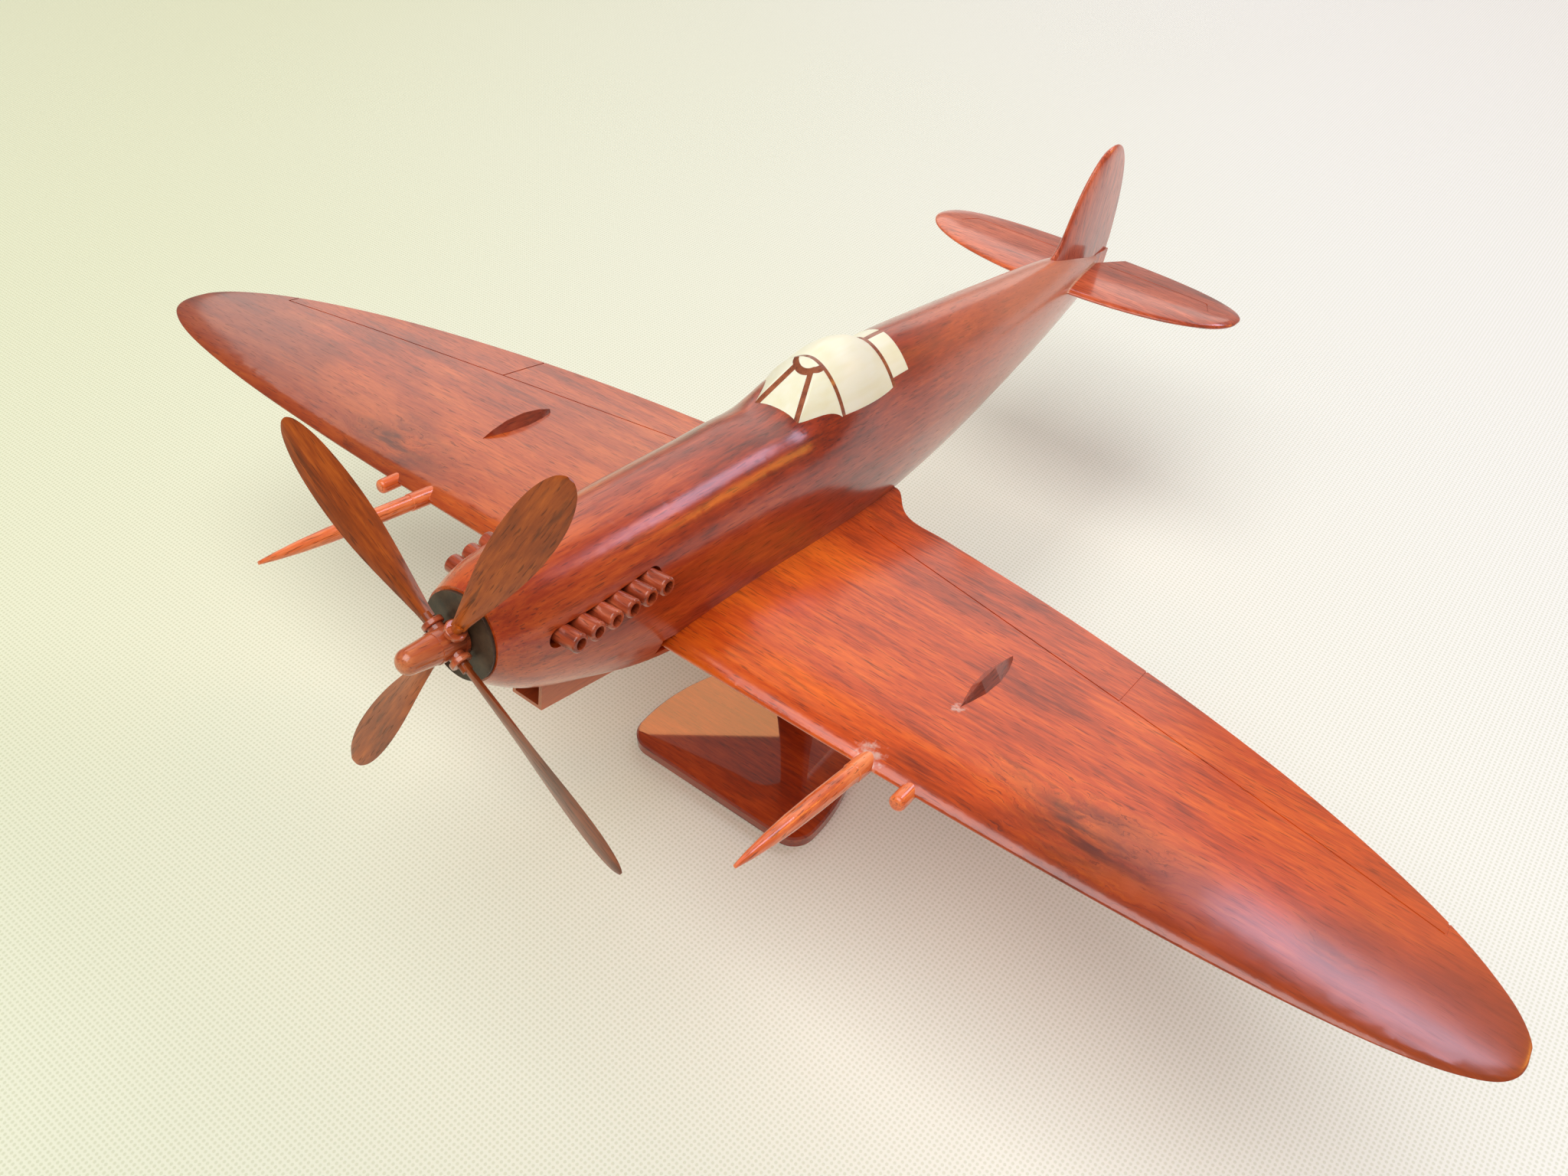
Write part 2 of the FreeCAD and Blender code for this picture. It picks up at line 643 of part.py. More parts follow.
def exhaust_slot(side):
    """Long round-ended slot along the cowling."""
    places = exhaust_places(side)
    axis = exhaust_axis(side)
    lift = size("exhaust_seat") / abs(axis.x)
    first = places[0][1] + axis * lift
    last = places[-1][1] + axis * lift
    along = (last - first).normalize()
    margin = size("exhaust_slot_margin") - size("exhaust_slot_height") / 2
    start = first - along * margin
    end = last + along * margin
    outward = along.cross(Z_AXIS).normalize() * side
    across = outward.cross(along).normalize()
    half = size("exhaust_slot_height") / 2
    reach = size("exhaust_mouth_x")
    corners = [start + across * half, end + across * half, end - across * half, start - across * half]
    slot = Part.Face(Part.makePolygon(corners + corners[:1])).extrude(outward * reach)
    for centre in (start, end):
        slot = slot.fuse(Part.makeCylinder(half, reach, centre, outward))
    return slot


def exhaust_seats(side):
    """Round seats of the stubs in the slot floor."""
    return [rod(root, mouth, size("exhaust_radius")) for mouth, root in exhaust_places(side)]


def shaft_bore():
    """Bore of the propeller shaft in the fuselage, along the thrust axis."""
    end = size("shaft_length") - size("hub_front") + size("shaft_end_gap")
    bore = rod(Vector(0, 0, 0), Y_AXIS * end, size("shaft_radius") + size("shaft_clearance"))
    bore.Placement = Placement(Vector(), Rotation(X_AXIS, -size("thrust_tilt")))
    return bore


def nose_trim():
    """Everything ahead of the nose plate's rear face."""
    back = size("plate_front") + size("plate_thickness")
    reach = 3 * size("plate_radius")
    trim = block((-reach, -reach, -reach), (reach, back, reach))
    trim.Placement = Placement(Vector(), Rotation(X_AXIS, -size("thrust_tilt")))
    return trim


def stand_socket():
    """Flat-bottomed recess and peg bore in the belly."""
    seat = Vector(0, size("seat_y"), size("seat_z"))
    reach = size("neck_radius") + size("neck_clearance")
    recess = rod(seat - Z_AXIS * 20, seat, reach)
    depth = size("peg_in_belly") + size("peg_tip_gap")
    bore = rod(seat - Z_AXIS, seat + Z_AXIS * depth, size("peg_radius") + size("peg_clearance"))
    return recess.fuse(bore)


def wing_slot(side):
    """Open end of the wing slot ahead of the leading edge."""
    front = wing_edges(fuselage_side_x())[0]
    half = size("wing_thickness") / 4
    plane = size("wing_plane_z")
    low = (side * size("wing_root_x"), front - size("wing_slot_overrun"), plane - half)
    high = (side * 2 * size("wing_root_x"), front + half, plane + half)
    return block([min(pair) for pair in zip(low, high)], [max(pair) for pair in zip(low, high)])


def screen_blank():
    """Windscreen block: narrow at the front, as wide as the hood at the arch."""
    half_width, top = SCREEN_SECTION
    waist = FUSELAGE_SECTIONS[6][4]
    bottom = FUSELAGE_SECTIONS[6][3]
    back = size("front_arch_y") - size("strip_width") / 2
    front = oval(size("screen_foot_y") - 1, half_width, top, bottom, waist, HOOD_CROWN, 2)
    rear = oval(back, FUSELAGE_SECTIONS[6][1], size("front_arch_z"), bottom, waist, HOOD_CROWN, 2)
    body = loft([front, rear], True)
    wide = 3 * half_width
    body = body.common(block((-wide, 0, size("canopy_floor_z")), (wide, back, wide)))
    rise = size("screen_head_z") - size("screen_foot_z")
    run = size("screen_head_y") - size("screen_foot_y")
    foot = Vector(-wide, size("screen_foot_y"), size("screen_foot_z"))
    corners = [foot - Vector(0, run, rise), foot + Vector(0, 2 * run, 2 * rise)]
    corners += [corners[1] - Vector(0, 4 * run, 0), corners[0] - Vector(0, 2 * run, 0)]
    face = Part.Face(Part.makePolygon(corners + corners[:1]))
    return body.cut(face.extrude(X_AXIS * (2 * wide)))


def strut_slab(side):
    """Thin slab through one edge of the flat windscreen."""
    foot = Vector(side * size("screen_foot_x"), size("screen_foot_y"), size("screen_foot_z"))
    head = Vector(side * size("screen_head_x"), size("screen_head_y"), size("screen_head_z"))
    inner = Vector(0, size("front_arch_y") + 6, size("canopy_floor_z") - 6)
    along = (head - foot).normalize()
    inward = (inner - foot) - along * (inner - foot).dot(along)
    inward.normalize()
    normal = along.cross(inward).normalize()
    corner = foot - along * 20 - inward * 6 - normal * (size("strip_width") / 2)
    points = [corner, corner + along * 60, corner + along * 60 + inward * 40, corner + inward * 40]
    slab = Part.Face(Part.makePolygon(points + points[:1]))
    return slab.extrude(normal * size("strip_width"))


def lens_plug(half_width, length):
    """Upright elliptical plug whose front outline bounds the small top panel."""
    centre = Vector(0, size("front_arch_y"), 0)
    plug = Part.makeCylinder(1, 60)
    matrix = FreeCAD.Matrix()
    matrix.scale(half_width, length, 1)
    plug = plug.transformGeometry(matrix)
    plug.translate(centre)
    return plug


def hood_wires():
    """Sections of the hood from the front arch to the rear arch."""
    front = FUSELAGE_SECTIONS[6]
    rear = FUSELAGE_SECTIONS[7]
    half_strip = size("strip_width") / 2
    crest = (size("hood_crest_y"), (front[1] + rear[1]) / 2, size("hood_crest_z"))
    start = size("front_arch_y") + half_strip
    end = size("rear_arch_y") - half_strip
    return [
        oval(start, front[1], size("front_arch_z"), front[3], front[4], HOOD_CROWN, 2),
        oval(crest[0], crest[1], crest[2], front[3], front[4], HOOD_CROWN, 2),
        oval(end, rear[1], rear[2], rear[3], rear[4], rear[5], 2),
    ]


def above_sill(back):
    """Space above the hood's sloping sill, up to a station."""
    front = size("front_arch_y") - size("strip_width") / 2
    slope = (size("sill_rear_z") - size("sill_front_z")) / (size("rear_arch_y") - size("front_arch_y"))
    low_front = size("sill_front_z")
    low_back = low_front + slope * (back - front)
    wide = size("beyond")
    corners = [
        Vector(-wide, front, low_front),
        Vector(-wide, back, low_back),
        Vector(-wide, back, 2 * wide),
        Vector(-wide, front, 2 * wide),
    ]
    return Part.Face(Part.makePolygon(corners + corners[:1])).extrude(X_AXIS * 2 * wide)


def arch_ring(wire, y, thickness):
    """Slab of an oval section between two stations."""
    slab = Part.Face(wire).extrude(Y_AXIS * thickness)
    slab.translate(Vector(0, y - wire.BoundBox.YMin, 0))
    return slab


def single(shape):
    """The only solid of a boolean result."""
    solids = shape.Solids
    return max(solids, key=lambda solid: solid.Volume)


def canopy_pieces(fuselage):
    """All canopy panels and strips, in the aircraft frame, by name."""
    strip = size("strip_width")
    made = {}
    screen = screen_blank()
    outer = lens_plug(size("lens_half_width") + strip / 2, size("lens_depth") + strip / 2)
    inner = lens_plug(size("lens_half_width") - strip / 2, size("lens_depth") - strip / 2)
    made["canopy_lens"] = single(screen.common(inner))
    made["canopy_lens_strip"] = single(screen.common(outer).cut(inner))
    rest = screen.cut(outer)
    slabs = {side: strut_slab(sign) for side, sign in SIDES.items()}
    for side, slab in slabs.items():
        made["canopy_strut_" + side] = single(rest.common(slab))
    panels = rest.cut(list(slabs.values())).Solids
    panels = sorted(panels, key=lambda solid: -solid.Volume)[:3]
    panels = sorted(panels, key=lambda solid: solid.CenterOfMass.x)
    for name, panel in zip(("side_starboard", "front", "side_port"), panels):
        made["canopy_screen_" + name] = panel
    wires = hood_wires()
    hood_space = above_sill(size("rear_arch_y") + strip / 2)
    made["canopy_hood"] = single(loft(wires).common(hood_space))
    front_ring = arch_ring(wires[0], size("front_arch_y") - strip / 2, strip)
    rear_ring = arch_ring(wires[-1], size("rear_arch_y") - strip / 2, strip)
    made["canopy_front_arch"] = single(front_ring.common(hood_space))
    made["canopy_rear_arch"] = single(rear_ring.common(hood_space))
    start = size("rear_arch_y") + strip / 2
    low = size("window_sill_z")
    wide = size("beyond")
    zones = {
        "canopy_window_port": (strip / 2, wide),
        "canopy_window_bar": (-strip / 2, strip / 2),
        "canopy_window_starboard": (-wide, -strip / 2),
    }
    for name, (left, right) in zones.items():
        zone = block((left, start, low), (right, size("window_back_y"), wide))
        made[name] = single(fuselage.common(zone))
    return made


def canopy_pocket():
    """Everything the fuselage loses to the canopy."""
    start = size("rear_arch_y") + size("strip_width") / 2
    low = (-size("beyond"), start, size("window_sill_z"))
    windows = block(low, (size("beyond"), size("window_back_y"), size("beyond")))
    return [above_sill(start), windows, screen_blank()]


def build_canopy(fuselage, frame):
    """Add every canopy piece to the document."""
    for name, shape in canopy_pieces(fuselage).items():
        shaped(name, shape, frame)


def intake_prism(inset, front, back):
    """Wedge of the chin intake, or its hollow when inset."""
    half = size("intake_half_width") - inset
    total = size("intake_back") - size("intake_front")
    slope = (size("intake_floor_back") - size("intake_floor_front")) / total
    low = size("intake_floor_front") + inset
    corners = [
        Vector(-half, front, low + slope * (front - size("intake_front"))),
        Vector(-half, back, low + slope * (back - size("intake_front"))),
        Vector(-half, back, -12),
        Vector(-half, front, -12),
    ]
    return Part.Face(Part.makePolygon(corners + corners[:1])).extrude(X_AXIS * 2 * half)


def intake_shape(fuselage):
    """Chin intake duct with its open mouth, fitted under the belly."""
    front = size("intake_front")
    solid = intake_prism(0, front, size("intake_back"))
    hollow = intake_prism(size("intake_wall"), front - 1, front + size("intake_depth"))
    return single(solid.cut(hollow).cut(fuselage))


def build_fuselage():
    """Fuselage block with every slot, bore and pocket cut."""
    blank = fuselage_blank()
    trimmed = blank.cut(nose_trim())
    tools = [shaft_bore(), stand_socket(), fin_blank().fuse(rudder_heel())]
    for sign in SIDES.values():
        tools += [wing_blank(sign), wing_slot(sign), tail_blank(sign), exhaust_slot(sign)]
        tools += exhaust_seats(sign)
    tools += canopy_pocket()
    carved = trimmed
    for tool in tools:
        carved = carved.cut(tool)
    shaped("fuselage", single(carved), aircraft_frame())
    return trimmed


def build_wings():
    """Both wings with cannons, gun stubs and blisters."""
    frame = aircraft_frame()
    plane = size("wing_plane_z")
    for side, sign in SIDES.items():
        wing = scribed(wing_blank(sign), wing_lines(sign), plane)
        cannon_y = wing_edges(size("cannon_x"))[0]
        rise = math.radians(size("cannon_rise_" + side))
        cannon_front = Vector(0, -math.cos(rise), math.sin(rise))
        cannon_root = Vector(sign * size("cannon_x"), cannon_y, plane)
        seat_start = cannon_root - cannon_front * size("cannon_root_seat")
        wing = wing.cut(rod(seat_start, cannon_root + cannon_front * 8, size("cannon_root_radius")))
        stub_y = wing_edges(size("stub_x"))[0]
        stub_root = Vector(sign * size("stub_x"), stub_y, plane - size("stub_drop"))
        stub_start = stub_root + Y_AXIS * size("stub_seat")
        wing = wing.cut(rod(stub_start, stub_root - Y_AXIS * 8, size("stub_radius")))
        shaped("wing_" + side, single(wing), frame)
        build_cannon(side, cannon_root, cannon_front)
        build_gun_stub(side, stub_root)
        shaped("blister_" + side, single(blister_shape(sign).cut(wing_blank(sign))), frame)


def build_cannon(side, root, forward):
    """Cannon root let into the leading edge, and its pointed barrel."""
    frame = aimed(root, forward)
    tip = "cannon_length_" + side
    free = f"({tip} - cannon_root_length)"
    turned(
        "cannon_root_" + side,
        [
            ("0", "-cannon_root_seat"),
            ("cannon_root_radius", "-cannon_root_seat"),
            ("cannon_root_radius", "cannon_root_length"),
            ("cannon_spigot_radius", "cannon_root_length"),
            ("cannon_spigot_radius", "cannon_root_length - cannon_spigot"),
            ("0", "cannon_root_length - cannon_spigot"),
        ],
        frame,
        [("cannon_root_length", "cannon_root_radius", "ferrule_round")],
    )
    turned(
        "cannon_barrel_" + side,
        [
            ("0", "cannon_root_length - cannon_spigot"),
            ("cannon_spigot_radius", "cannon_root_length - cannon_spigot"),
            ("cannon_spigot_radius", "cannon_root_length"),
            ("cannon_barrel_radius", "cannon_root_length"),
            ("cannon_barrel_radius", "cannon_root_length + 0.36 * " + free),
            ("cannon_barrel_radius * 0.92", "cannon_root_length + 0.56 * " + free),
            ("cannon_barrel_radius * 0.74", "cannon_root_length + 0.74 * " + free),
            ("cannon_barrel_radius * 0.46", "cannon_root_length + 0.9 * " + free),
            ("cannon_tip_radius", tip),
            ("0", tip),
        ],
        frame,
    )


def build_gun_stub(side, root):
    """Short round-ended gun stub beside the cannon."""
    turned(
        "gun_stub_" + side,
        [
            ("0", "-stub_seat"),
            ("stub_radius", "-stub_seat"),
            ("stub_radius", "stub_length"),
            ("0", "stub_length"),
        ],
        aimed(root, -Y_AXIS),
        [("stub_length", "stub_radius", "stub_radius * 0.55")],
    )


def blister_shape(sign):
    """Long two-faced blister that stands on the wing."""
    centre = size("blister_x")
    front, back = wing_edges(centre)
    middle = size("blister_front") + size("blister_length") / 2
    share = (middle - front) / (back - front)
    skin = size("wing_plane_z") + wing_thickness(centre) * 0.5 * (1 - (share - 0.3) ** 2)
    wires = []
    for step in BLISTER_STATIONS:
        y = size("blister_front") + size("blister_length") * step
        swell = math.sin(math.pi * step) ** 0.8
        half = size("blister_width") / 2 * swell
        ridge = skin + size("blister_height") * swell
        base = skin - 3
        points = [
            Vector(sign * centre - half, y, base),
            Vector(sign * centre - half, y, skin - 1),
            Vector(sign * centre, y, ridge),
            Vector(sign * centre + half, y, skin - 1),
            Vector(sign * centre + half, y, base),
        ]
        wires.append(Part.makePolygon(points + points[:1]))
    return loft(wires, True)


def build_tail():
    """Tailplanes and fin."""
    frame = aircraft_frame()
    fin = fin_blank().fuse(rudder_heel())
    for side, sign in SIDES.items():
        tail = tail_blank(sign).cut(rudder_notch(sign)).cut(fin)
        tail = scribed(tail, [elevator_line(sign)], size("tail_z"))
        shaped("tailplane_" + side, single(tail), frame)
    shaped("fin", single(fin), frame)


def build_exhausts():
    """Six exhaust stubs a side."""
    for side, sign in SIDES.items():
        axis = exhaust_axis(sign)
        for index, (mouth, root) in enumerate(exhaust_places(sign), start=1):
            length = "(exhaust_mouth_x - exhaust_floor_x + exhaust_seat)"
            reach = f"{length} * {1 / abs(axis.x):.9f}"
            turned(
                f"exhaust_{side}_{index}",
                [
                    ("0", "0"),
                    ("exhaust_radius", "0"),
                    ("exhaust_radius", reach),
                    ("exhaust_bore", reach),
                    ("exhaust_bore", f"{reach} - exhaust_bore_depth"),
                    ("0", f"{reach} - exhaust_bore_depth"),
                ],
                aimed(root, axis),
                [(reach, "exhaust_radius", "exhaust_rim")],
            )


def blade_shape():
    """Twisted blade along +Z from its shank."""
    radius = size("propeller_radius")
    start = size("socket_reach") + 0.6
    wires = []
    for share in BLADE_STATIONS:
        height = start + (radius - start) * share
        swell = math.sin(math.pi / 2 * min(1, share / 0.62)) ** 1.3
        chord = size("blade_root_chord") + (size("blade_chord") - size("blade_root_chord")) * swell
        if share > 0.62:
            chord *= (1 - ((share - 0.62) / 0.38) ** 2.4) ** 0.5
        drop = size("blade_thickness") - size("blade_tip_thickness")
        thickness = (size("blade_thickness") - drop * share) * min(1, 0.35 + chord / 9)
        angle = size("blade_pitch") + size("blade_twist") * (0.7 - share)
        wires.append(blade_section(height, chord, thickness, angle))
    blade = loft(wires)
    shank = rod(Z_AXIS * size("shank_seat"), Z_AXIS * (start + 1.5), size("shank_radius"))
    return blade.fuse(shank)


def blade_section(height, chord, thickness, angle):
    """Lens-shaped blade section."""
    half = chord / 2
    turn = Rotation(Z_AXIS, angle)
    spot = lambda x, y: turn.multVec(Vector(x, y, height))
    back = Part.Arc(spot(-half, 0), spot(0, thickness * 0.62), spot(half, 0)).toShape()
    face = Part.Arc(spot(half, 0), spot(0, -thickness * 0.38), spot(-half, 0)).toShape()
    return Part.Wire([back, face])


def blade_frame(angle):
    """Placement that points a blade's +Z along its angle in the blade disc."""
    return thrust_frame() * Placement(Vector(), Rotation(Y_AXIS, 90 - angle))


def build_propeller():
    """Hub, rings, blades, bullet, boss, shaft and nose plate."""
    frame = thrust_frame()
    barrel = rod(Y_AXIS * -size("hub_front"), Y_AXIS * size("hub_back"), size("hub_radius"))
    shanks = []
    for angle in BLADE_ANGLES.values():
        turn = Placement(Vector(), Rotation(Y_AXIS, 90 - angle))
        reach = turn.multVec(Z_AXIS)
        barrel = barrel.fuse(rod(Vector(), reach * size("socket_reach"), size("socket_radius")))
        shanks.append(rod(reach * size("shank_seat"), reach * 12, size("shank_radius")))
    for shank in shanks:
        barrel = barrel.cut(shank)
    barrel = barrel.cut(rod(Y_AXIS * -9, Y_AXIS * 9, size("shaft_radius")))
    shaped("propeller_hub", single(barrel), frame)
    for letter, angle in BLADE_ANGLES.items():
        shaped("blade_" + letter, blade_shape(), blade_frame(angle))
        build_ferrule(letter, angle)
    build_nose_pieces(frame)


def build_ferrule(letter, angle):
    """Ring on the end of one blade socket."""
    upright = Placement(Vector(), Rotation(Y_AXIS, Z_AXIS))
    turned(
        "blade_ring_" + letter,
        [
            ("socket_radius", "socket_reach - ferrule_length"),
            ("ferrule_radius", "socket_reach - ferrule_length"),
            ("ferrule_radius", "socket_reach"),
            ("socket_radius", "socket_reach"),
        ],
        blade_frame(angle) * upright,
        [
            ("socket_reach", "ferrule_radius", "ferrule_round"),
            ("socket_reach - ferrule_length", "ferrule_radius", "ferrule_round"),
        ],
    )


def build_nose_pieces(frame):
    """Bullet, boss, shaft and nose plate on the thrust axis."""
    turned(
        "nose_bullet",
        [
            ("0", "-hub_front"),
            ("bullet_radius", "-hub_front"),
            ("bullet_tip_radius", "-hub_front - bullet_length"),
            ("0", "-hub_front - bullet_length"),
        ],
        frame,
        [("-hub_front - bullet_length", "bullet_tip_radius", "bullet_tip_radius - 0.2")],
    )
    turned(
        "propeller_boss",
        [
            ("shaft_radius", "hub_back"),
            ("boss_radius", "hub_back"),
            ("boss_radius", "plate_front - boss_gap"),
            ("shaft_radius", "plate_front - boss_gap"),
        ],
        frame,
    )
    turned(
        "propeller_shaft",
        [
            ("0", "-hub_front"),
            ("shaft_radius", "-hub_front"),
            ("shaft_radius", "shaft_length - hub_front"),
            ("0", "shaft_length - hub_front"),
        ],
        frame,
    )
    turned(
        "nose_plate",
        [
            ("shaft_radius + shaft_clearance", "plate_front"),
            ("plate_radius", "plate_front"),
            ("plate_radius", "plate_front + plate_thickness"),
            ("shaft_radius + shaft_clearance", "plate_front + plate_thickness"),
        ],
        frame,
    )


def seat_point():
    """Centre of the stand seat in the world frame."""
    return aircraft_frame().multVec(Vector(0, size("seat_y"), size("seat_z")))


def vertical_edges(shape):
    """Number and lower end of each straight upright edge of a plate."""
    names = []
    for index, edge in enumerate(shape.Edges, start=1):
        ends = [vertex.Point for vertex in edge.Vertexes]
        if len(ends) == 2 and abs(ends[0].x - ends[1].x) + abs(ends[0].y - ends[1].y) < 1e-6:
            names.append((index, ends[0]))
    return names


def build_base():
    """Base plate: two wide arcs and a straight front edge, with rounded corners."""
    widest = "base_front_y + base_widest_from_front"
    discs = []
    for side, sign in SIDES.items():
        disc = primitive(
            "Cylinder",
            "base_disc_" + side,
            Placement(),
            Radius="base_side_radius",
            Height="base_thickness",
        )
        disc.setExpression("Placement.Base.x", bound(f"{-sign} * base_side_offset"))
        disc.setExpression("Placement.Base.y", bound(widest))
        discs.append(disc)
    front = primitive(
        "Box",
        "base_front",
        Placement(),
        Length="4 * base_side_radius",
        Width="4 * base_side_radius",
        Height="base_thickness",
    )
    front.setExpression("Placement.Base.x", bound("-2 * base_side_radius"))
    front.setExpression("Placement.Base.y", bound("base_front_y"))
    blank = doc.addObject("Part::MultiCommon", "base_blank")
    blank.Shapes = discs + [front]
    doc.recompute()
    rounding = doc.addObject("Part::Fillet", "base_round")
    rounding.Base = blank
    corners = []
    for index, point in vertical_edges(blank.Shape):
        radius = size("base_tail_radius") if abs(point.x) < 1 else size("base_corner_radius")
        corners.append((index, radius, radius))
    rounding.Edges = corners
    doc.recompute()
    edge_break = doc.addObject("Part::Chamfer", "base_edge")
    edge_break.Base = rounding
    top = size("base_thickness")
    broken = size("base_edge_chamfer")
    rim = []
    for index, edge in enumerate(rounding.Shape.Edges, start=1):
        if all(abs(vertex.Z - top) < 1e-6 for vertex in edge.Vertexes):
            rim.append((index, broken, broken))
    edge_break.Edges = rim
    doc.recompute()
    keep(cut("base_plate", edge_break, screw_hole_tools()), "base_plate")


def screw_hole_tools():
    """Shank hole and countersink of the post screw in the base plate."""
    y = seat_point().y
    shank = primitive(
        "Cylinder",
        "screw_hole",
        Placement(Vector(0, y, -1), Rotation()),
        Radius="screw_radius",
        Height="base_thickness + 2",
    )
    well = primitive(
        "Cylinder",
        "screw_well",
        Placement(Vector(0, y, 0), Rotation()),
        Radius="screw_head_radius",
        Height="screw_sink",
    )
    sink = primitive(
        "Cone",
        "screw_countersink",
        Placement(Vector(0, y, size("screw_sink")), Rotation()),
        Radius1="screw_head_radius",
        Radius2="screw_radius",
        Height="screw_head_depth",
    )
    return [shank, well, sink]


def build_screw():
    """Countersunk wood screw that holds the post from below."""
    y = seat_point().y
    upright = Placement(Vector(0, y, size("screw_sink")), Rotation(Y_AXIS, Z_AXIS))
    body = turned(
        "post_screw_blank",
        [
            ("0", "0"),
            ("screw_head_radius", "0"),
            ("screw_radius", "screw_head_depth"),
            ("screw_radius", "screw_length - screw_radius"),
            ("0", "screw_length"),
        ],
        upright,
    )
    pieces.remove(body)
    slot = primitive(
        "Box",
        "screw_slot",
        Placement(),
        Length="4 * screw_head_radius",
        Width="screw_slot_width",
        Height="2 * screw_slot_depth",
    )
    corner_y = y - size("screw_slot_width") / 2
    corner_z = size("screw_sink") - size("screw_slot_depth")
    slot.Placement = Placement(Vector(-2 * size("screw_head_radius"), corner_y, corner_z), Rotation())
    keep(cut("post_screw", body, [slot]), "post_screw")


def build_post():
    """Tapered post with its tilted head and neck, and the peg in it."""
    seat = seat_point()
    frame = aircraft_frame()
    up = frame.Rotation.multVec(Z_AXIS)
    head = seat - up * size("neck_height")
    base = size("base_thickness")
    foot_centre = Vector(0, seat.y, base)
    half_length = size("post_foot_length") / 2
    half_width = size("post_foot_width") / 2
    foot = Part.Ellipse(foot_centre + Y_AXIS * half_length, foot_centre + X_AXIS * half_width, foot_centre)
    middle_centre = Vector(0, seat.y, base + (head.z - base) * 0.35)
    waist = 0.7
    middle_long = middle_centre + Y_AXIS * (half_length * waist)
    middle_wide = middle_centre + X_AXIS * (half_width * waist)
    middle = Part.Ellipse(middle_long, middle_wide, middle_centre)
    top = Part.Circle(head, up, size("post_top_radius"))
    post = loft([Part.Wire([curve.toShape()]) for curve in (foot, middle, top)])
    post = post.fuse(rod(head - up, seat, size("neck_radius")))
    peg_start = seat - up * size("peg_in_post")
    post = post.cut(rod(peg_start, seat + up, size("peg_radius")))
    screw_top = size("screw_sink") + size("screw_length")
    shank_top = Vector(0, seat.y, screw_top - size("screw_radius"))
    post = post.cut(rod(Vector(0, seat.y, 0), shank_top, size("screw_radius")))
    post = post.cut(Part.makeCone(size("screw_radius"), 0, size("screw_radius"), shank_top))
    shaped("stand_post", single(post), Placement())
    peg_frame = Placement(seat, Rotation(Y_AXIS, up))
    turned(
        "stand_peg",
        [
            ("0", "-peg_in_post"),
            ("peg_radius", "-peg_in_post"),
            ("peg_radius", "peg_in_belly"),
            ("0", "peg_in_belly"),
        ],
        peg_frame,
        [("peg_in_belly", "peg_radius", "peg_radius * 0.4")],
    )


def check_document():
    """Stop on any failed object or bad shape before anything is written."""
    doc.recompute()
    for item in doc.Objects:
        if "Invalid" in item.State or "Error" in item.State:
            raise RuntimeError(f"{item.Name} failed: {item.State}")
    for item in pieces:
        if item.Shape.isNull() or not item.Shape.isValid():
            raise RuntimeError(f"{item.Label} has a bad shape")
        if len(item.Shape.Solids) != 1:
            raise RuntimeError(f"{item.Label} has {len(item.Shape.Solids)} solids")


def export_pieces():
    """Write one STEP file for each sub-part."""
    os.makedirs("parts", exist_ok=True)
    for item in pieces:
        item.Shape.exportStep(os.path.join("parts", item.Label + ".step"))


def main():
    """Build the stand and the aircraft, check them and export them."""
    fill_sheet()
    build_base()
    build_screw()
    build_post()
    blank = build_fuselage()
    shaped("intake_duct", intake_shape(blank), aircraft_frame())
    build_canopy(blank, aircraft_frame())
    build_wings()
    build_tail()
    build_exhausts()
    build_propeller()
    check_document()
    export_pieces()
    print(len(pieces), "sub-parts")


main()
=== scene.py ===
"""Dress a carved rosewood desk model aircraft and its stand in their finishes."""

import logging
import math
from dataclasses import dataclass, field
from enum import Enum

import bmesh
import bpy
from mathutils import Euler, Matrix, Vector

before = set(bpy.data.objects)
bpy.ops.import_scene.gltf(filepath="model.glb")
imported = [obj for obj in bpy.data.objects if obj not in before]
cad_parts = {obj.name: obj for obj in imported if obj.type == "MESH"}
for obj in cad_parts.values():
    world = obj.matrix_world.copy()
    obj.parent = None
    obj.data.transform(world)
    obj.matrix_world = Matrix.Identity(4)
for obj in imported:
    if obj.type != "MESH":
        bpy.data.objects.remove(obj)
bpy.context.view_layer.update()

log = logging.getLogger("desk_model")
MM = 0.001

QUARTER_TURN = math.radians(90)

# The aircraft sits nose-up on its stand and its propeller axis is tilted a little more.
PROPELLER_CENTRE = Vector((0.0, -126.4, 159.6)) * MM
AIRCRAFT_PITCH = math.radians(11.0)
THRUST_PITCH = math.radians(15.1)

# The lights face this point.
MODEL_MIDDLE = Vector((0.0, 0.0, 0.12))

SIDES = ("port", "starboard")
SRGB_KNEE = 0.04045

Tree = bpy.types.NodeTree
Socket = bpy.types.NodeSocket


class Grain(Enum):
    """Direction in which the grain of a piece runs."""

    LENGTHWISE = "along the fuselage"
    SPANWISE = "along the wing"
    UPRIGHT = "up the piece"


def linear(code: str) -> tuple[float, float, float, float]:
    """Turn an sRGB hex colour into linear RGBA.

    Args:
        code: six hex digits.

    Returns:
        Linear red, green, blue and an alpha of one.
    """
    values = [int(code[place:place + 2], 16) / 255 for place in (0, 2, 4)]
    bent = [v / 12.92 if v <= SRGB_KNEE else ((v + 0.055) / 1.055) ** 2.4 for v in values]
    return (bent[0], bent[1], bent[2], 1.0)


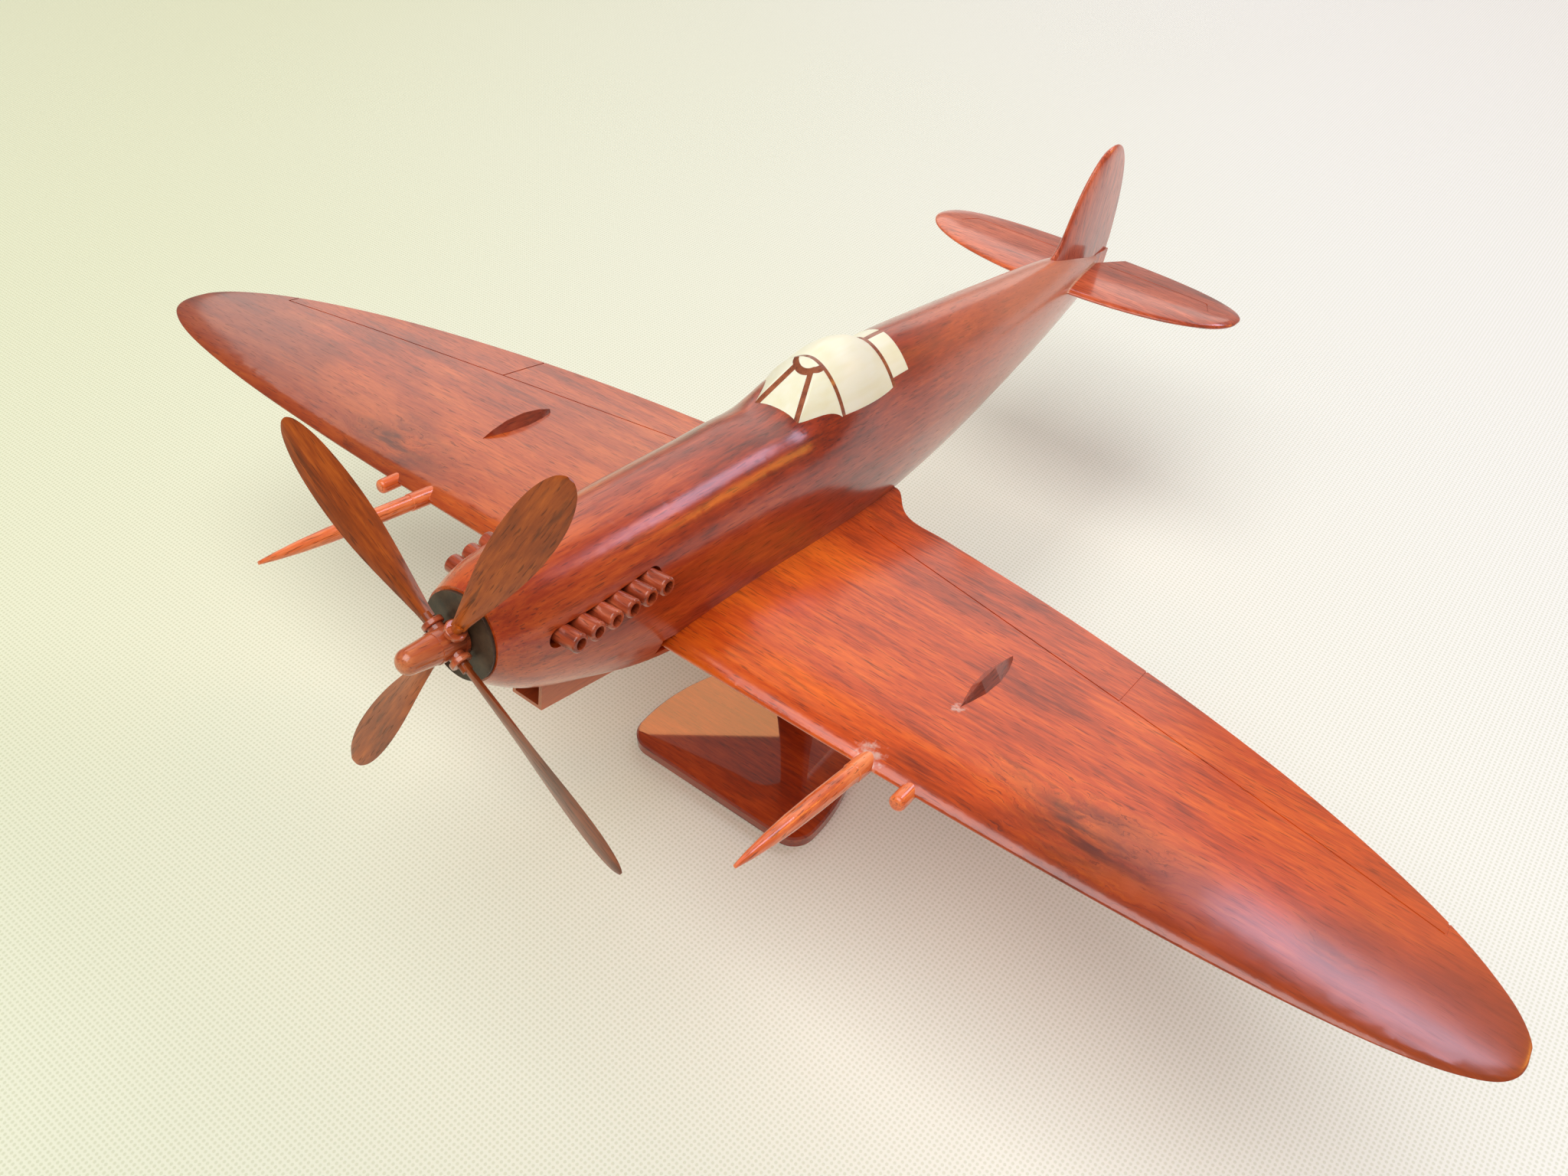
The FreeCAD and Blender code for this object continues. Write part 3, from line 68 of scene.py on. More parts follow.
def add_node(tree: Tree, kind: str, inputs: dict | None = None, **settings) -> bpy.types.Node:
    """Add one node with its settings, input values and links.

    Args:
        tree: node tree that receives the node.
        kind: node type name without its ShaderNode prefix.
        inputs: input name or index to a value, or to a socket that feeds it.
        settings: properties set on the node itself.

    Returns:
        The new node.
    """
    node = tree.nodes.new("ShaderNode" + kind)
    for name, value in settings.items():
        setattr(node, name, value)
    for name, value in (inputs or {}).items():
        if isinstance(value, Socket):
            tree.links.new(value, node.inputs[name])
        else:
            node.inputs[name].default_value = value
    return node


def new_material(name: str) -> tuple[bpy.types.Material, Tree]:
    """Make an empty node material.

    Args:
        name: material name.

    Returns:
        The material and its emptied node tree.
    """
    material = bpy.data.materials.new(name)
    material.use_nodes = True
    material.node_tree.nodes.clear()
    return material, material.node_tree


def ramp(tree: Tree, factor: Socket, stops: list[tuple[float, str]]) -> Socket:
    """Colour ramp through hex colours.

    Args:
        tree: node tree.
        factor: socket that drives the ramp.
        stops: position and hex colour of each stop.

    Returns:
        The ramp's colour socket.
    """
    node = add_node(tree, "ValToRGB", {"Fac": factor})
    elements = node.color_ramp.elements
    while len(elements) < len(stops):
        elements.new(0.5)
    for element, (place, code) in zip(elements, stops):
        element.position = place
        element.color = linear(code)
    return node.outputs["Color"]


def between(tree: Tree, value: Socket, low: float, high: float) -> Socket:
    """Smooth step of a value from 0 at low to 1 at high."""
    inputs = {"Value": value, "From Min": low, "From Max": high}
    return add_node(tree, "MapRange", inputs, interpolation_type="SMOOTHSTEP").outputs["Result"]


def maths(tree: Tree, operation: str, first, second=0.0) -> Socket:
    """Result of one maths node on two values or sockets."""
    return add_node(tree, "Math", {0: first, 1: second}, operation=operation).outputs[0]


def scale_add(tree: Tree, value: Socket, factor: float, offset) -> Socket:
    """A value times a factor, plus an offset."""
    inputs = {0: value, 1: factor, 2: offset}
    return add_node(tree, "Math", inputs, operation="MULTIPLY_ADD").outputs[0]


def vector_maths(tree: Tree, operation: str, *vectors, output: str = "Vector") -> Socket:
    """Result of one vector maths node on one or two vectors or sockets."""
    node = add_node(tree, "VectorMath", dict(enumerate(vectors)), operation=operation)
    return node.outputs[output]


def noise(tree: Tree, place: Socket, **inputs: float) -> Socket:
    """Value of one noise texture at a place."""
    return add_node(tree, "TexNoise", {"Vector": place, **inputs}).outputs[0]


def blend_colour(tree: Tree, mode: str, factor, first, second) -> Socket:
    """Mix two colours, values or sockets, in one blend mode."""
    inputs = {"Factor": factor, 6: first, 7: second}
    return add_node(tree, "Mix", inputs, data_type="RGBA", blend_type=mode).outputs[2]


def surface(tree: Tree, inputs: dict) -> None:
    """Put one principled shader on the material's surface.

    Args:
        tree: node tree.
        inputs: the shader's input values and links.
    """
    shader = add_node(tree, "BsdfPrincipled", inputs)
    add_node(tree, "OutputMaterial", {"Surface": shader.outputs[0]})


@dataclass(frozen=True)
class GrainFrame:
    """Frame whose local y axis runs along a piece's grain."""

    origin: Vector
    turn: Matrix

    def mapping(self, tree: Tree) -> Socket:
        """Object coordinates turned into this frame.

        Args:
            tree: node tree.

        Returns:
            Vector socket in metres.
        """
        inverse = self.turn.to_3x3().inverted()
        coords = add_node(tree, "TexCoord").outputs["Object"]
        inputs = {
            "Vector": coords,
            "Location": -(inverse @ self.origin),
            "Rotation": inverse.to_euler("XYZ"),
        }
        return add_node(tree, "Mapping", inputs, vector_type="POINT").outputs[0]


def aircraft_grain(grain: Grain) -> GrainFrame:
    """Grain frame fixed to the pitched aircraft.

    Args:
        grain: direction of the grain in the aircraft.

    Returns:
        The frame, with its origin at the propeller centre.
    """
    turn = Matrix.Rotation(-AIRCRAFT_PITCH, 3, "X")
    if grain is Grain.SPANWISE:
        turn = turn @ Matrix.Rotation(QUARTER_TURN, 3, "Z")
    elif grain is Grain.UPRIGHT:
        turn = turn @ Matrix.Rotation(QUARTER_TURN, 3, "X")
    return GrainFrame(PROPELLER_CENTRE, turn)


def blade_grain(angle: float) -> GrainFrame:
    """Grain frame along one propeller blade.

    Args:
        angle: blade direction in the blade disc, degrees.

    Returns:
        The frame, with its local y axis along the blade.
    """
    turn = Matrix.Rotation(-THRUST_PITCH, 3, "X") @ Matrix.Rotation(math.radians(90 - angle), 3, "Y")
    return GrainFrame(PROPELLER_CENTRE, turn @ Matrix.Rotation(QUARTER_TURN, 3, "X"))


@dataclass(frozen=True)
class Spot:
    """Round place on a piece, in the aircraft frame, in millimetres."""

    x: float
    y: float
    z: float
    radius: float

    def world(self) -> Vector:
        """The spot's centre in the row frame, in metres."""
        local = Vector((self.x, self.y, self.z)) * MM
        return PROPELLER_CENTRE + Matrix.Rotation(-AIRCRAFT_PITCH, 3, "X") @ local


@dataclass(frozen=True)
class Seam:
    """Straight glue line at the root of a tail surface, in the aircraft frame, in millimetres."""

    start_y: float
    start_x: float
    slope: float
    width: float = 0.7
    colour: str = "D9B79A"


@dataclass(frozen=True)
class ToneAndSheenDrift:
    """Slow change of colour along one axis of the aircraft, in millimetres; on the wings it is the wood's
    own tone, on the fuselage a painted reflection.
    """

    axis: tuple[float, float, float]
    start: float
    end: float
    colour: str
    share: float
    sway: float = 60.0
    cloud_scale: float = 24.0


@dataclass(frozen=True)
class Layer:
    """One noise of the wood's figure, drawn out along the grain."""

    scale: float
    stretch: float
    detail: float
    weight: float = 1.0

    def build(self, tree: Tree, place: Socket) -> Socket:
        """Value of the noise at a place.

        Args:
            tree: node tree.
            place: coordinates along the grain, in metres.

        Returns:
            Value socket.
        """
        drawn = vector_maths(tree, "MULTIPLY", place, (1.0, self.stretch, 1.0))
        return noise(tree, drawn, Scale=self.scale, Detail=self.detail, Roughness=0.6)


# Scales are in cells per metre across the grain.
STREAKS = Layer(170.0, 0.14, 6.0, 0.36)  # streaks 6 mm wide
FIBRES = Layer(900.0, 0.10, 3.0, 0.42)  # fibres 1 mm wide
MOTTLE = Layer(70.0, 0.4, 5.0, 0.36)  # mottling of 15 mm by 35 mm
PATCHES = Layer(11.0, 0.6, 3.0, 0.48)  # paler and darker patches of 90 mm
SMOKE = Layer(9.0, 0.6, 4.0)  # dark clouds of 110 mm
VEINS = Layer(480.0, 0.10, 3.0)  # dark veins 2 mm wide
PORES = Layer(2400.0, 0.07, 1.0, 0.5)  # open pores of 0.4 mm by 6 mm
KNOT_STREAKS = Layer(260.0, 0.2, 4.0)  # streaks that part round a knot
KNOT_RIPPLE = Layer(130.0, 0.6, 5.0, 2.2)  # ragged edge of a knot
FIGURE = (STREAKS, FIBRES, MOTTLE, PATCHES)


@dataclass(frozen=True)
class Rosewood:
    """Lacquered rosewood, carved by hand and polished.

    Growth rings show as bands where the carving cuts through them, dark veins run
    along the grain, and open pores show as short dark flecks under the lacquer.
    """

    name: str
    grain: GrainFrame
    pale: str = "D8682F"
    heart: str = "AC441D"
    dark: str = "571C0D"
    vein: str = "2C0D08"
    knot: str = "260E08"
    glue: str = "E2CFC2"
    ring_period: float = 5.5
    vein_share: float = 0.5
    smoke_share: float = 0.3
    ring_share: float = 0.05
    seed: tuple[float, float, float] = (0.0, 0.0, 0.0)
    coat: float = 1.0
    gloss: float = 0.12
    roughness: float = 0.34
    knots: tuple[Spot, ...] = ()
    residue: tuple[Spot, ...] = ()
    seam: Seam | None = None
    drifts: tuple[ToneAndSheenDrift, ...] = ()
    coat_index: float = 1.48

    def build(self) -> bpy.types.Material:
        """Make the material.

        Returns:
            The finished material.
        """
        material, tree = new_material(self.name)
        place = vector_maths(tree, "ADD", self.grain.mapping(tree), Vector(self.seed))
        knot_mask, bent = self._knots(tree, place)
        colour, streaks = self._figure(tree, bent)
        pores = between(tree, PORES.build(tree, bent), 0.60, 0.70)
        colour = blend_colour(
            tree, "MIX", maths(tree, "MULTIPLY", pores, PORES.weight), colour, linear(self.vein)
        )
        if knot_mask is not None:
            colour = blend_colour(tree, "MIX", knot_mask, colour, linear(self.knot))
        roughness = scale_add(tree, pores, 0.2, self.roughness)
        # Colour drifts: the wood's own tone on the wings, painted reflections on the fuselage.
        for drift in self.drifts:
            colour = blend_colour(tree, "MIX", self._drift(tree, drift), colour, linear(drift.colour))
        for mask, code in self._marks(tree):
            colour = blend_colour(tree, "MIX", mask, colour, linear(code))
            roughness = maths(tree, "MAXIMUM", roughness, maths(tree, "MULTIPLY", mask, 0.8))
        # Pores sink and dark streaks stand a little proud under the lacquer, so the gloss breaks up.
        relief = maths(tree, "SUBTRACT", maths(tree, "MULTIPLY", streaks, 0.15), pores)
        bump = add_node(tree, "Bump", {"Height": relief, "Strength": 0.12, "Distance": 0.06 * MM})
        surface(
            tree,
            {
                "Base Color": colour,
                "Roughness": roughness,
                "Normal": bump.outputs[0],
                "IOR": 1.5,
                "Specular IOR Level": 0.2,
                "Coat Weight": self.coat,
                "Coat Roughness": self.gloss,
                "Coat IOR": self.coat_index,
            },
        )
        return material

    def _figure(self, tree: Tree, place: Socket) -> tuple[Socket, Socket]:
        """Colour of the wood's figure.

        Args:
            tree: node tree.
            place: coordinates along the grain.

        Returns:
            Colour socket and the streak pattern for the relief.
        """
        tone = maths(tree, "MULTIPLY", self._rings(tree, place), self.ring_share)
        patterns = [layer.build(tree, place) for layer in FIGURE]
        for pattern, layer in zip(patterns, FIGURE):
            tone = scale_add(tree, pattern, layer.weight, tone)
        middle = 0.5 * (sum(layer.weight for layer in FIGURE) + self.ring_share)
        stops = [(middle - 0.2, self.dark), (middle - 0.02, self.heart), (middle + 0.16, self.pale)]
        colour = ramp(tree, tone, stops)
        smoke = between(tree, SMOKE.build(tree, place), 0.50, 0.72)
        smoke = maths(tree, "MULTIPLY", smoke, self.smoke_share)
        colour = blend_colour(tree, "MIX", smoke, colour, linear(self.dark))
        veins = between(tree, VEINS.build(tree, place), 0.58, 0.72)
        veins = maths(tree, "MULTIPLY", veins, self.vein_share)
        return blend_colour(tree, "MIX", veins, colour, linear(self.vein)), patterns[0]

    def _rings(self, tree: Tree, place: Socket) -> Socket:
        """Growth rings round the log's axis, which lies well below the piece."""
        log_axis = (0.031, 0.0, 0.047)
        moved = vector_maths(tree, "ADD", place, log_axis)
        # A ring texture of scale 1 has a ring every 0.314 units.
        inputs = {
            "Vector": vector_maths(tree, "MULTIPLY", moved, (1.0, 0.10, 1.0)),
            "Scale": 0.314 / (self.ring_period * MM),
            "Distortion": 9.0,
            "Detail": 3.0,
            "Detail Scale": 0.35,
        }
        node = add_node(tree, "TexWave", inputs, wave_type="RINGS", rings_direction="Y", wave_profile="SIN")
        return node.outputs["Fac"]

    def _drift(self, tree: Tree, drift: ToneAndSheenDrift) -> Socket:
        """Share of a drift's colour, with a clouded edge."""
        place = aircraft_grain(Grain.LENGTHWISE).mapping(tree)
        along = vector_maths(tree, "DOT_PRODUCT", place, drift.axis, output="Value")
        cloud = noise(tree, place, Scale=drift.cloud_scale, Detail=4.0)
        along = scale_add(tree, cloud, drift.sway * MM, along)
        shift = drift.sway / 2
        reached = between(tree, along, (drift.start + shift) * MM, (drift.end + shift) * MM)
        return maths(tree, "MULTIPLY", reached, drift.share)

    def _knots(self, tree: Tree, place: Socket) -> tuple:
        """Swirls of dark grain round each knot.

        Args:
            tree: node tree.
            place: coordinates along the grain.

        Returns:
            Dark mask, or None, and the coordinates bent round the knots.
        """
        mask = None
        bent = place
        streaks = KNOT_STREAKS.build(tree, place)
        for knot in self.knots:
            local = self.grain.turn.to_3x3().inverted() @ (knot.world() - self.grain.origin)
            apart = vector_maths(tree, "SUBTRACT", place, Vector(self.seed) + local)
            apart = vector_maths(tree, "MULTIPLY", apart, (1.0, 0.55, 1.0))
            near = vector_maths(tree, "LENGTH", apart, output="Value")
            near = maths(tree, "DIVIDE", near, knot.radius * MM)
            ripple = maths(tree, "SUBTRACT", KNOT_RIPPLE.build(tree, place), 0.5)
            near = maths(tree, "ADD", near, maths(tree, "MULTIPLY", ripple, KNOT_RIPPLE.weight))
            pull = maths(tree, "MULTIPLY", maths(tree, "MULTIPLY", near, near), -1.0)
            pull = maths(tree, "EXPONENT", pull)
            shift = maths(tree, "MULTIPLY", pull, 0.8 * knot.radius * MM)
            bent = vector_maths(tree, "ADD", bent, add_node(tree, "CombineXYZ", {"X": shift}).outputs[0])
            core = maths(tree, "MULTIPLY", pull, between(tree, streaks, 0.35, 0.62))
            core = maths(tree, "MULTIPLY", core, 0.85)
            mask = core if mask is None else maths(tree, "MAXIMUM", mask, core)
        return mask, bent

    def _marks(self, tree: Tree) -> list[tuple[Socket, str]]:
        """Masks and colours of dried glue on the wood."""
        marks = []
        coords = add_node(tree, "TexCoord").outputs["Object"]
        ragged = maths(tree, "SUBTRACT", noise(tree, coords, Scale=700.0, Detail=5.0), 0.5)
        ragged = maths(tree, "MULTIPLY", ragged, 2.6)
        for spot in self.residue:
            near = maths(tree, "ADD", spot_distance(tree, coords, spot), ragged)
            smear = maths(tree, "SUBTRACT", 1.0, between(tree, near, 0.1, 1.1))
            marks.append((maths(tree, "MULTIPLY", smear, 0.55), self.glue))
        if self.seam is not None:
            axes = add_node(tree, "SeparateXYZ", {0: aircraft_grain(Grain.LENGTHWISE).mapping(tree)})
            along = maths(tree, "SUBTRACT", axes.outputs["Y"], self.seam.start_y * MM)
            edge = maths(tree, "MULTIPLY", along, self.seam.slope)
            edge = maths(tree, "ADD", edge, self.seam.start_x * MM)
            gap = maths(tree, "SUBTRACT", maths(tree, "ABSOLUTE", axes.outputs["X"]), edge)
            gap = maths(tree, "ADD", gap, maths(tree, "MULTIPLY", ragged, 0.15 * MM))
            line = between(tree, gap, self.seam.width * MM, 0.5 * self.seam.width * MM)
            marks.append((maths(tree, "MULTIPLY", line, 0.6), self.seam.colour))
        return marks


def spot_distance(tree: Tree, coords: Socket, spot: Spot) -> Socket:
    """Distance from a spot's centre, in units of its radius."""
    apart = vector_maths(tree, "SUBTRACT", coords, spot.world())
    distance = vector_maths(tree, "LENGTH", apart, output="Value")
    return maths(tree, "DIVIDE", distance, spot.radius * MM)


@dataclass(frozen=True)
class PaleWood:
    """Ivory-coloured close-grained wood under clear lacquer, nearly plain.

    A little light goes through it, which softens its edges.
    """

    name: str = "lacquered_pale_boxwood"
    light: str = "FFFCE4"
    shade: str = "F8F1CC"

    def build(self) -> bpy.types.Material:
        """Make the material."""
        material, tree = new_material(self.name)
        place = aircraft_grain(Grain.LENGTHWISE).mapping(tree)
        drawn = vector_maths(tree, "MULTIPLY", place, (1.0, 0.08, 1.0))
        fibres = noise(tree, drawn, Scale=420.0, Detail=4.0)
        clouds = maths(tree, "MULTIPLY", noise(tree, place, Scale=60.0, Detail=2.0), 0.5)
        tone = maths(tree, "ADD", maths(tree, "MULTIPLY", fibres, 0.5), clouds)
        bump = add_node(tree, "Bump", {"Height": fibres, "Strength": 0.06, "Distance": 0.04 * MM})
        surface(
            tree,
            {
                "Base Color": ramp(tree, tone, [(0.3, self.shade), (0.6, self.light)]),
                "Roughness": 0.45,
                "Normal": bump.outputs[0],
                "Subsurface Weight": 0.12,
                "Subsurface Radius": (1.2 * MM, 0.9 * MM, 0.5 * MM),
                "Subsurface Scale": 1.0,
                "Coat Weight": 0.25,
                "Coat Roughness": 0.25,
            },
        )
        return material


@dataclass(frozen=True)
class SatinBlack:
    """Ebonised wood disc, stained and rubbed, so brown shows through the black."""

    name: str = "ebonised_wood"
    stain: str = "2C2018"
    rubbed: str = "5C4632"

    def build(self) -> bpy.types.Material:
        """Make the material."""
        material, tree = new_material(self.name)
        coords = add_node(tree, "TexCoord").outputs["Object"]
        scuffs = noise(tree, coords, Scale=260.0, Detail=6.0, Roughness=0.7)
        bump = add_node(tree, "Bump", {"Height": scuffs, "Strength": 0.15, "Distance": 0.08 * MM})
        surface(
            tree,
            {
                "Base Color": ramp(tree, scuffs, [(0.3, self.stain), (0.7, self.rubbed)]),
                "Roughness": scale_add(tree, scuffs, 0.25, 0.3),
                "Normal": bump.outputs[0],
            },
        )
        return material


@dataclass(frozen=True)
class ZincSteel:
    """Zinc-plated wood screw, slightly dulled."""

    name: str = "zinc_plated_steel"
    dull: str = "8E9196"
    bright: str = "C3C6CA"

    def build(self) -> bpy.types.Material:
        """Make the material."""
        material, tree = new_material(self.name)
        coords = add_node(tree, "TexCoord").outputs["Object"]
        bloom = noise(tree, coords, Scale=700.0, Detail=5.0)
        surface(
            tree,
            {
                "Base Color": ramp(tree, bloom, [(0.3, self.dull), (0.7, self.bright)]),
                "Metallic": 1.0,
                "Roughness": scale_add(tree, bloom, 0.25, 0.25),
            },
        )
        return material


@dataclass(frozen=True)
class BackdropCloth:
    """Pale embossed non-woven cloth with rows of small dots."""

    name: str = "embossed_nonwoven_cloth"
    light: str = "FAFBF8"
    # Yellow-green of the painted lamp cast on one side of the cloth.
    shade: str = "EBEFD0"
    pit_shade: str = "ECEDE6"
    pitch: float = 1.6

    def build(self) -> bpy.types.Material:
        """Make the material."""
        material, tree = new_material(self.name)
        coords = add_node(tree, "TexCoord").outputs["Object"]
        # Painted light: the cloth is painted yellow-green towards one corner and whiter towards the other,
        # a painted colour cast of the lamps.
        across = vector_maths(tree, "DOT_PRODUCT", coords, (0.8, 0.6, 0.0), output="Value")
        clouds = maths(tree, "MULTIPLY", noise(tree, coords, Scale=1.6, Detail=2.0), 0.2)
        clear_of_painted_cast = between(tree, maths(tree, "ADD", across, clouds), -0.35, 0.55)
        # The rows of dots give the cloth its fine regular shimmer.
        inputs = {"Vector": coords, "Scale": 1 / (self.pitch * MM), "Randomness": 0.08}
        dots = add_node(tree, "TexVoronoi", inputs, voronoi_dimensions="2D")
        pit = between(tree, dots.outputs["Distance"], 0.18, 0.42)
        colour = ramp(tree, clear_of_painted_cast, [(0.0, self.shade), (1.0, self.light)])
        dimmed = blend_colour(tree, "MULTIPLY", 1.0, colour, linear(self.pit_shade))
        bump = add_node(tree, "Bump", {"Height": pit, "Strength": 0.3, "Distance": 0.15 * MM})
        surface(
            tree,
            {
                "Base Color": blend_colour(tree, "MIX", pit, dimmed, colour),
                "Roughness": 0.85,
                "Normal": bump.outputs[0],
                "Specular IOR Level": 0.2,
            },
        )
        return material


def dress(node: str, material: bpy.types.Material) -> None:
    """Give a carried-over part its material.

    Args:
        node: part name.
        material: finish for all of its faces.
    """
    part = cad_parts[node]
    part.data.materials.clear()
    part.data.materials.append(material)
    log.info("%s: %s", node, material.name)


@dataclass
class Stand:
    """Base plate, post, peg and screw."""

    base: Rosewood = field(init=False)
    post: Rosewood = field(init=False)

    def __post_init__(self) -> None:
        """Choose the two finishes."""
        flat = GrainFrame(Vector((0.0, 0.0, 0.0)), Matrix.Rotation(QUARTER_TURN, 3, "Z"))
        upright = GrainFrame(Vector((0.0, 0.0, 0.0)), Matrix.Rotation(QUARTER_TURN, 3, "X"))
        tones = {"pale": "B8460E", "heart": "942E06", "dark": "661804", "gloss": 0.02, "coat_index": 1.75}
        self.base = Rosewood("polished_rosewood_base", flat, ring_period=9.0, vein_share=0.3, **tones)
        self.post = Rosewood("polished_rosewood_post", upright, ring_period=6.0, vein_share=0.3, **tones)

    def build(self) -> None:
        """Dress the stand."""
        dress("base_plate", self.base.build())
        wood = self.post.build()
        for node in ("stand_post", "stand_peg"):
            dress(node, wood)
        dress("post_screw", ZincSteel().build())


@dataclass
class Fuselage:
    """Carved fuselage block with intake, exhausts and nose plate."""

    exhausts_a_side: int = 6

    def build(self) -> None:
        """Dress the fuselage and what is let into it."""
        body = Rosewood(
            "carved_rosewood_fuselage",
            aircraft_grain(Grain.LENGTHWISE),
            pale="D25A1A",
            heart="AC380A",
            dark="742006",
            vein="340F06",
            ring_period=8.0,
            vein_share=0.4,
            gloss=0.2,
            drifts=(
                # Painted reflection: the rear of the fuselage turns pale pink, a painted sheen of the pale
                # room.
                ToneAndSheenDrift((0.0, 1.0, 0.0), 140.0, 310.0, "EC9A78", 0.6),
                # Painted reflection: the lower sides of the fuselage turn pale orange, a painted reflection
                # of the pale floor.
                ToneAndSheenDrift((0.0, 0.0, -1.0), 14.0, 32.0, "E08A58", 0.45),
            ),
            seed=(0.4, 0.1, 0.2),
        ).build()
        dress("fuselage", body)
        dress("intake_duct", body)
        dress("nose_plate", SatinBlack().build())
        stubs = Rosewood(
            "turned_rosewood_exhausts",
            aircraft_grain(Grain.SPANWISE),
            pale="D87048",
            heart="A84626",
            dark="602010",
            ring_period=3.0,
            vein_share=0.25,
            seed=(0.2, 0.7, 0.3),
        ).build()
        for side in SIDES:
            for number in range(1, self.exhausts_a_side + 1):
                dress(f"exhaust_{side}_{number}", stubs)


@dataclass
class Canopy:
    """Inlaid pale canopy with its dark glazing strips."""

    panels: tuple[str, ...] = (
        "canopy_lens",
        "canopy_hood",
        "canopy_screen_front",
        "canopy_screen_side_port",
        "canopy_screen_side_starboard",
        "canopy_window_port",
        "canopy_window_starboard",
    )
    strips: tuple[str, ...] = (
        "canopy_lens_strip",
        "canopy_strut_port",
        "canopy_strut_starboard",
        "canopy_front_arch",
        "canopy_rear_arch",
        "canopy_window_bar",
    )

    def build(self) -> None:
        """Dress the panels and strips."""
        ivory = PaleWood().build()
        for node in self.panels:
            dress(node, ivory)
        strip = Rosewood(
            "inlaid_rosewood_strip",
            aircraft_grain(Grain.LENGTHWISE),
            pale="B26238",
            heart="93461F",
            dark="5C2410",
            ring_period=2.0,
            vein_share=0.2,
        ).build()
        for node in self.strips:
            dress(node, strip)


@dataclass
class Wings:
    """Both wings with cannons, gun stubs and blisters."""

    def build(self) -> None:
        """Dress both wings and their fittings."""
        span = aircraft_grain(Grain.SPANWISE)
        port = Rosewood(
            "carved_rosewood_port_wing",
            span,
            pale="F26E16",
            heart="D04C0C",
            dark="8E2C05",
            vein="40140A",
            ring_period=11.0,
            vein_share=0.4,
            seed=(0.31, 0.12, 0.44),
            knots=(Spot(134.0, 76.0, -24.0, 10.0), Spot(192.0, 84.0, -24.0, 5.0)),
            drifts=(
                ToneAndSheenDrift((1.0, 0.0, 0.0), 150.0, 225.0, "D86A20", 0.35),
                ToneAndSheenDrift((0.25, -0.97, 0.0), -52.0, -28.0, "6A2206", 0.55),
            ),
            gloss=0.18,
            residue=(Spot(80.4, 63.5, -25.0, 4.2), Spot(89.2, 93.0, -21.0, 2.4)),
        ).build()
        starboard = Rosewood(
            "carved_rosewood_starboard_wing",
            span,
            pale="DE6820",
            heart="BC480C",
            dark="7E2806",
            vein="38140A",
            ring_period=12.0,
            vein_share=0.4,
            seed=(0.05, 0.5, 0.1),
            knots=(Spot(-105.0, 72.0, -24.0, 9.0),),
            drifts=(ToneAndSheenDrift((-0.3, -0.95, 0.0), -60.0, -25.0, "6A2208", 0.5),),
        ).build()
        fittings = Rosewood(
            "turned_rosewood_guns",
            aircraft_grain(Grain.LENGTHWISE),
            pale="FF9458",
            heart="E4682E",
            dark="943A16",
            ring_period=4.0,
            vein_share=0.3,
            seed=(0.15, 0.25, 0.6),
        ).build()
        blister = Rosewood(
            "carved_rosewood_blister",
            aircraft_grain(Grain.LENGTHWISE),
            pale="B8542E",
            heart="90341A",
            dark="561C0E",
            seed=(0.4, 0.1, 0.3),
            residue=(Spot(89.2, 93.0, -21.0, 2.4),),
        ).build()
        for side, wood in (("port", port), ("starboard", starboard)):
            dress("wing_" + side, wood)
            dress("blister_" + side, blister)
            for part in ("cannon_root_", "cannon_barrel_", "gun_stub_"):
                dress(part + side, fittings)


@dataclass
class Tail:
    """Tailplanes and fin."""

    def build(self) -> None:
        """Dress the tail."""
        flat = Rosewood(
            "carved_rosewood_tailplane",
            aircraft_grain(Grain.SPANWISE),
            pale="EA7040",
            heart="BE4A20",
            dark="7A280E",
            ring_period=8.0,
            vein_share=0.5,
            seed=(0.7, 0.3, 0.2),
            seam=Seam(303.0, 9.4, -0.147),
        ).build()
        for side in SIDES:
            dress("tailplane_" + side, flat)
        fin = Rosewood(
            "carved_rosewood_fin",
            aircraft_grain(Grain.UPRIGHT),
            pale="E8744C",
            heart="C04E2C",
            dark="561E0E",
            ring_period=8.0,
            vein_share=0.35,
            seed=(0.1, 0.9, 0.5),
        ).build()
        dress("fin", fin)


@dataclass
class Propeller:
    """Blades, rings, hub, boss, bullet and shaft."""

    blade_angles: dict[str, float] = field(
        default_factory=lambda: {"a": 151.0, "b": 61.0, "c": 240.0, "d": 332.0}
    )

    def build(self) -> None:
        """Dress the propeller, each blade with its own grain direction."""
        tones = {"pale": "C4601A", "heart": "9A420E", "dark": "622608", "vein": "2A1006"}
        for index, (letter, angle) in enumerate(self.blade_angles.items()):
            wood = Rosewood(
                f"carved_rosewood_blade_{letter}",
                blade_grain(angle),
                ring_period=4.0,
                vein_share=0.5,
                seed=(0.1 * index, 0.37 * index, 0.23 * index),
                coat=0.4,
                gloss=0.16,
                roughness=0.4,
                **tones,
            ).build()
            dress("blade_" + letter, wood)
        core = Rosewood(
            "turned_rosewood_hub",
            GrainFrame(PROPELLER_CENTRE, Matrix.Rotation(-THRUST_PITCH, 3, "X")),
            pale="D87A48",
            heart="B4502A",
            dark="6A2C14",
            ring_period=3.0,
            vein_share=0.3,
        ).build()
        for node in ("propeller_hub", "nose_bullet", "propeller_boss", "propeller_shaft"):
            dress(node, core)
        for letter in self.blade_angles:
            dress("blade_ring_" + letter, core)


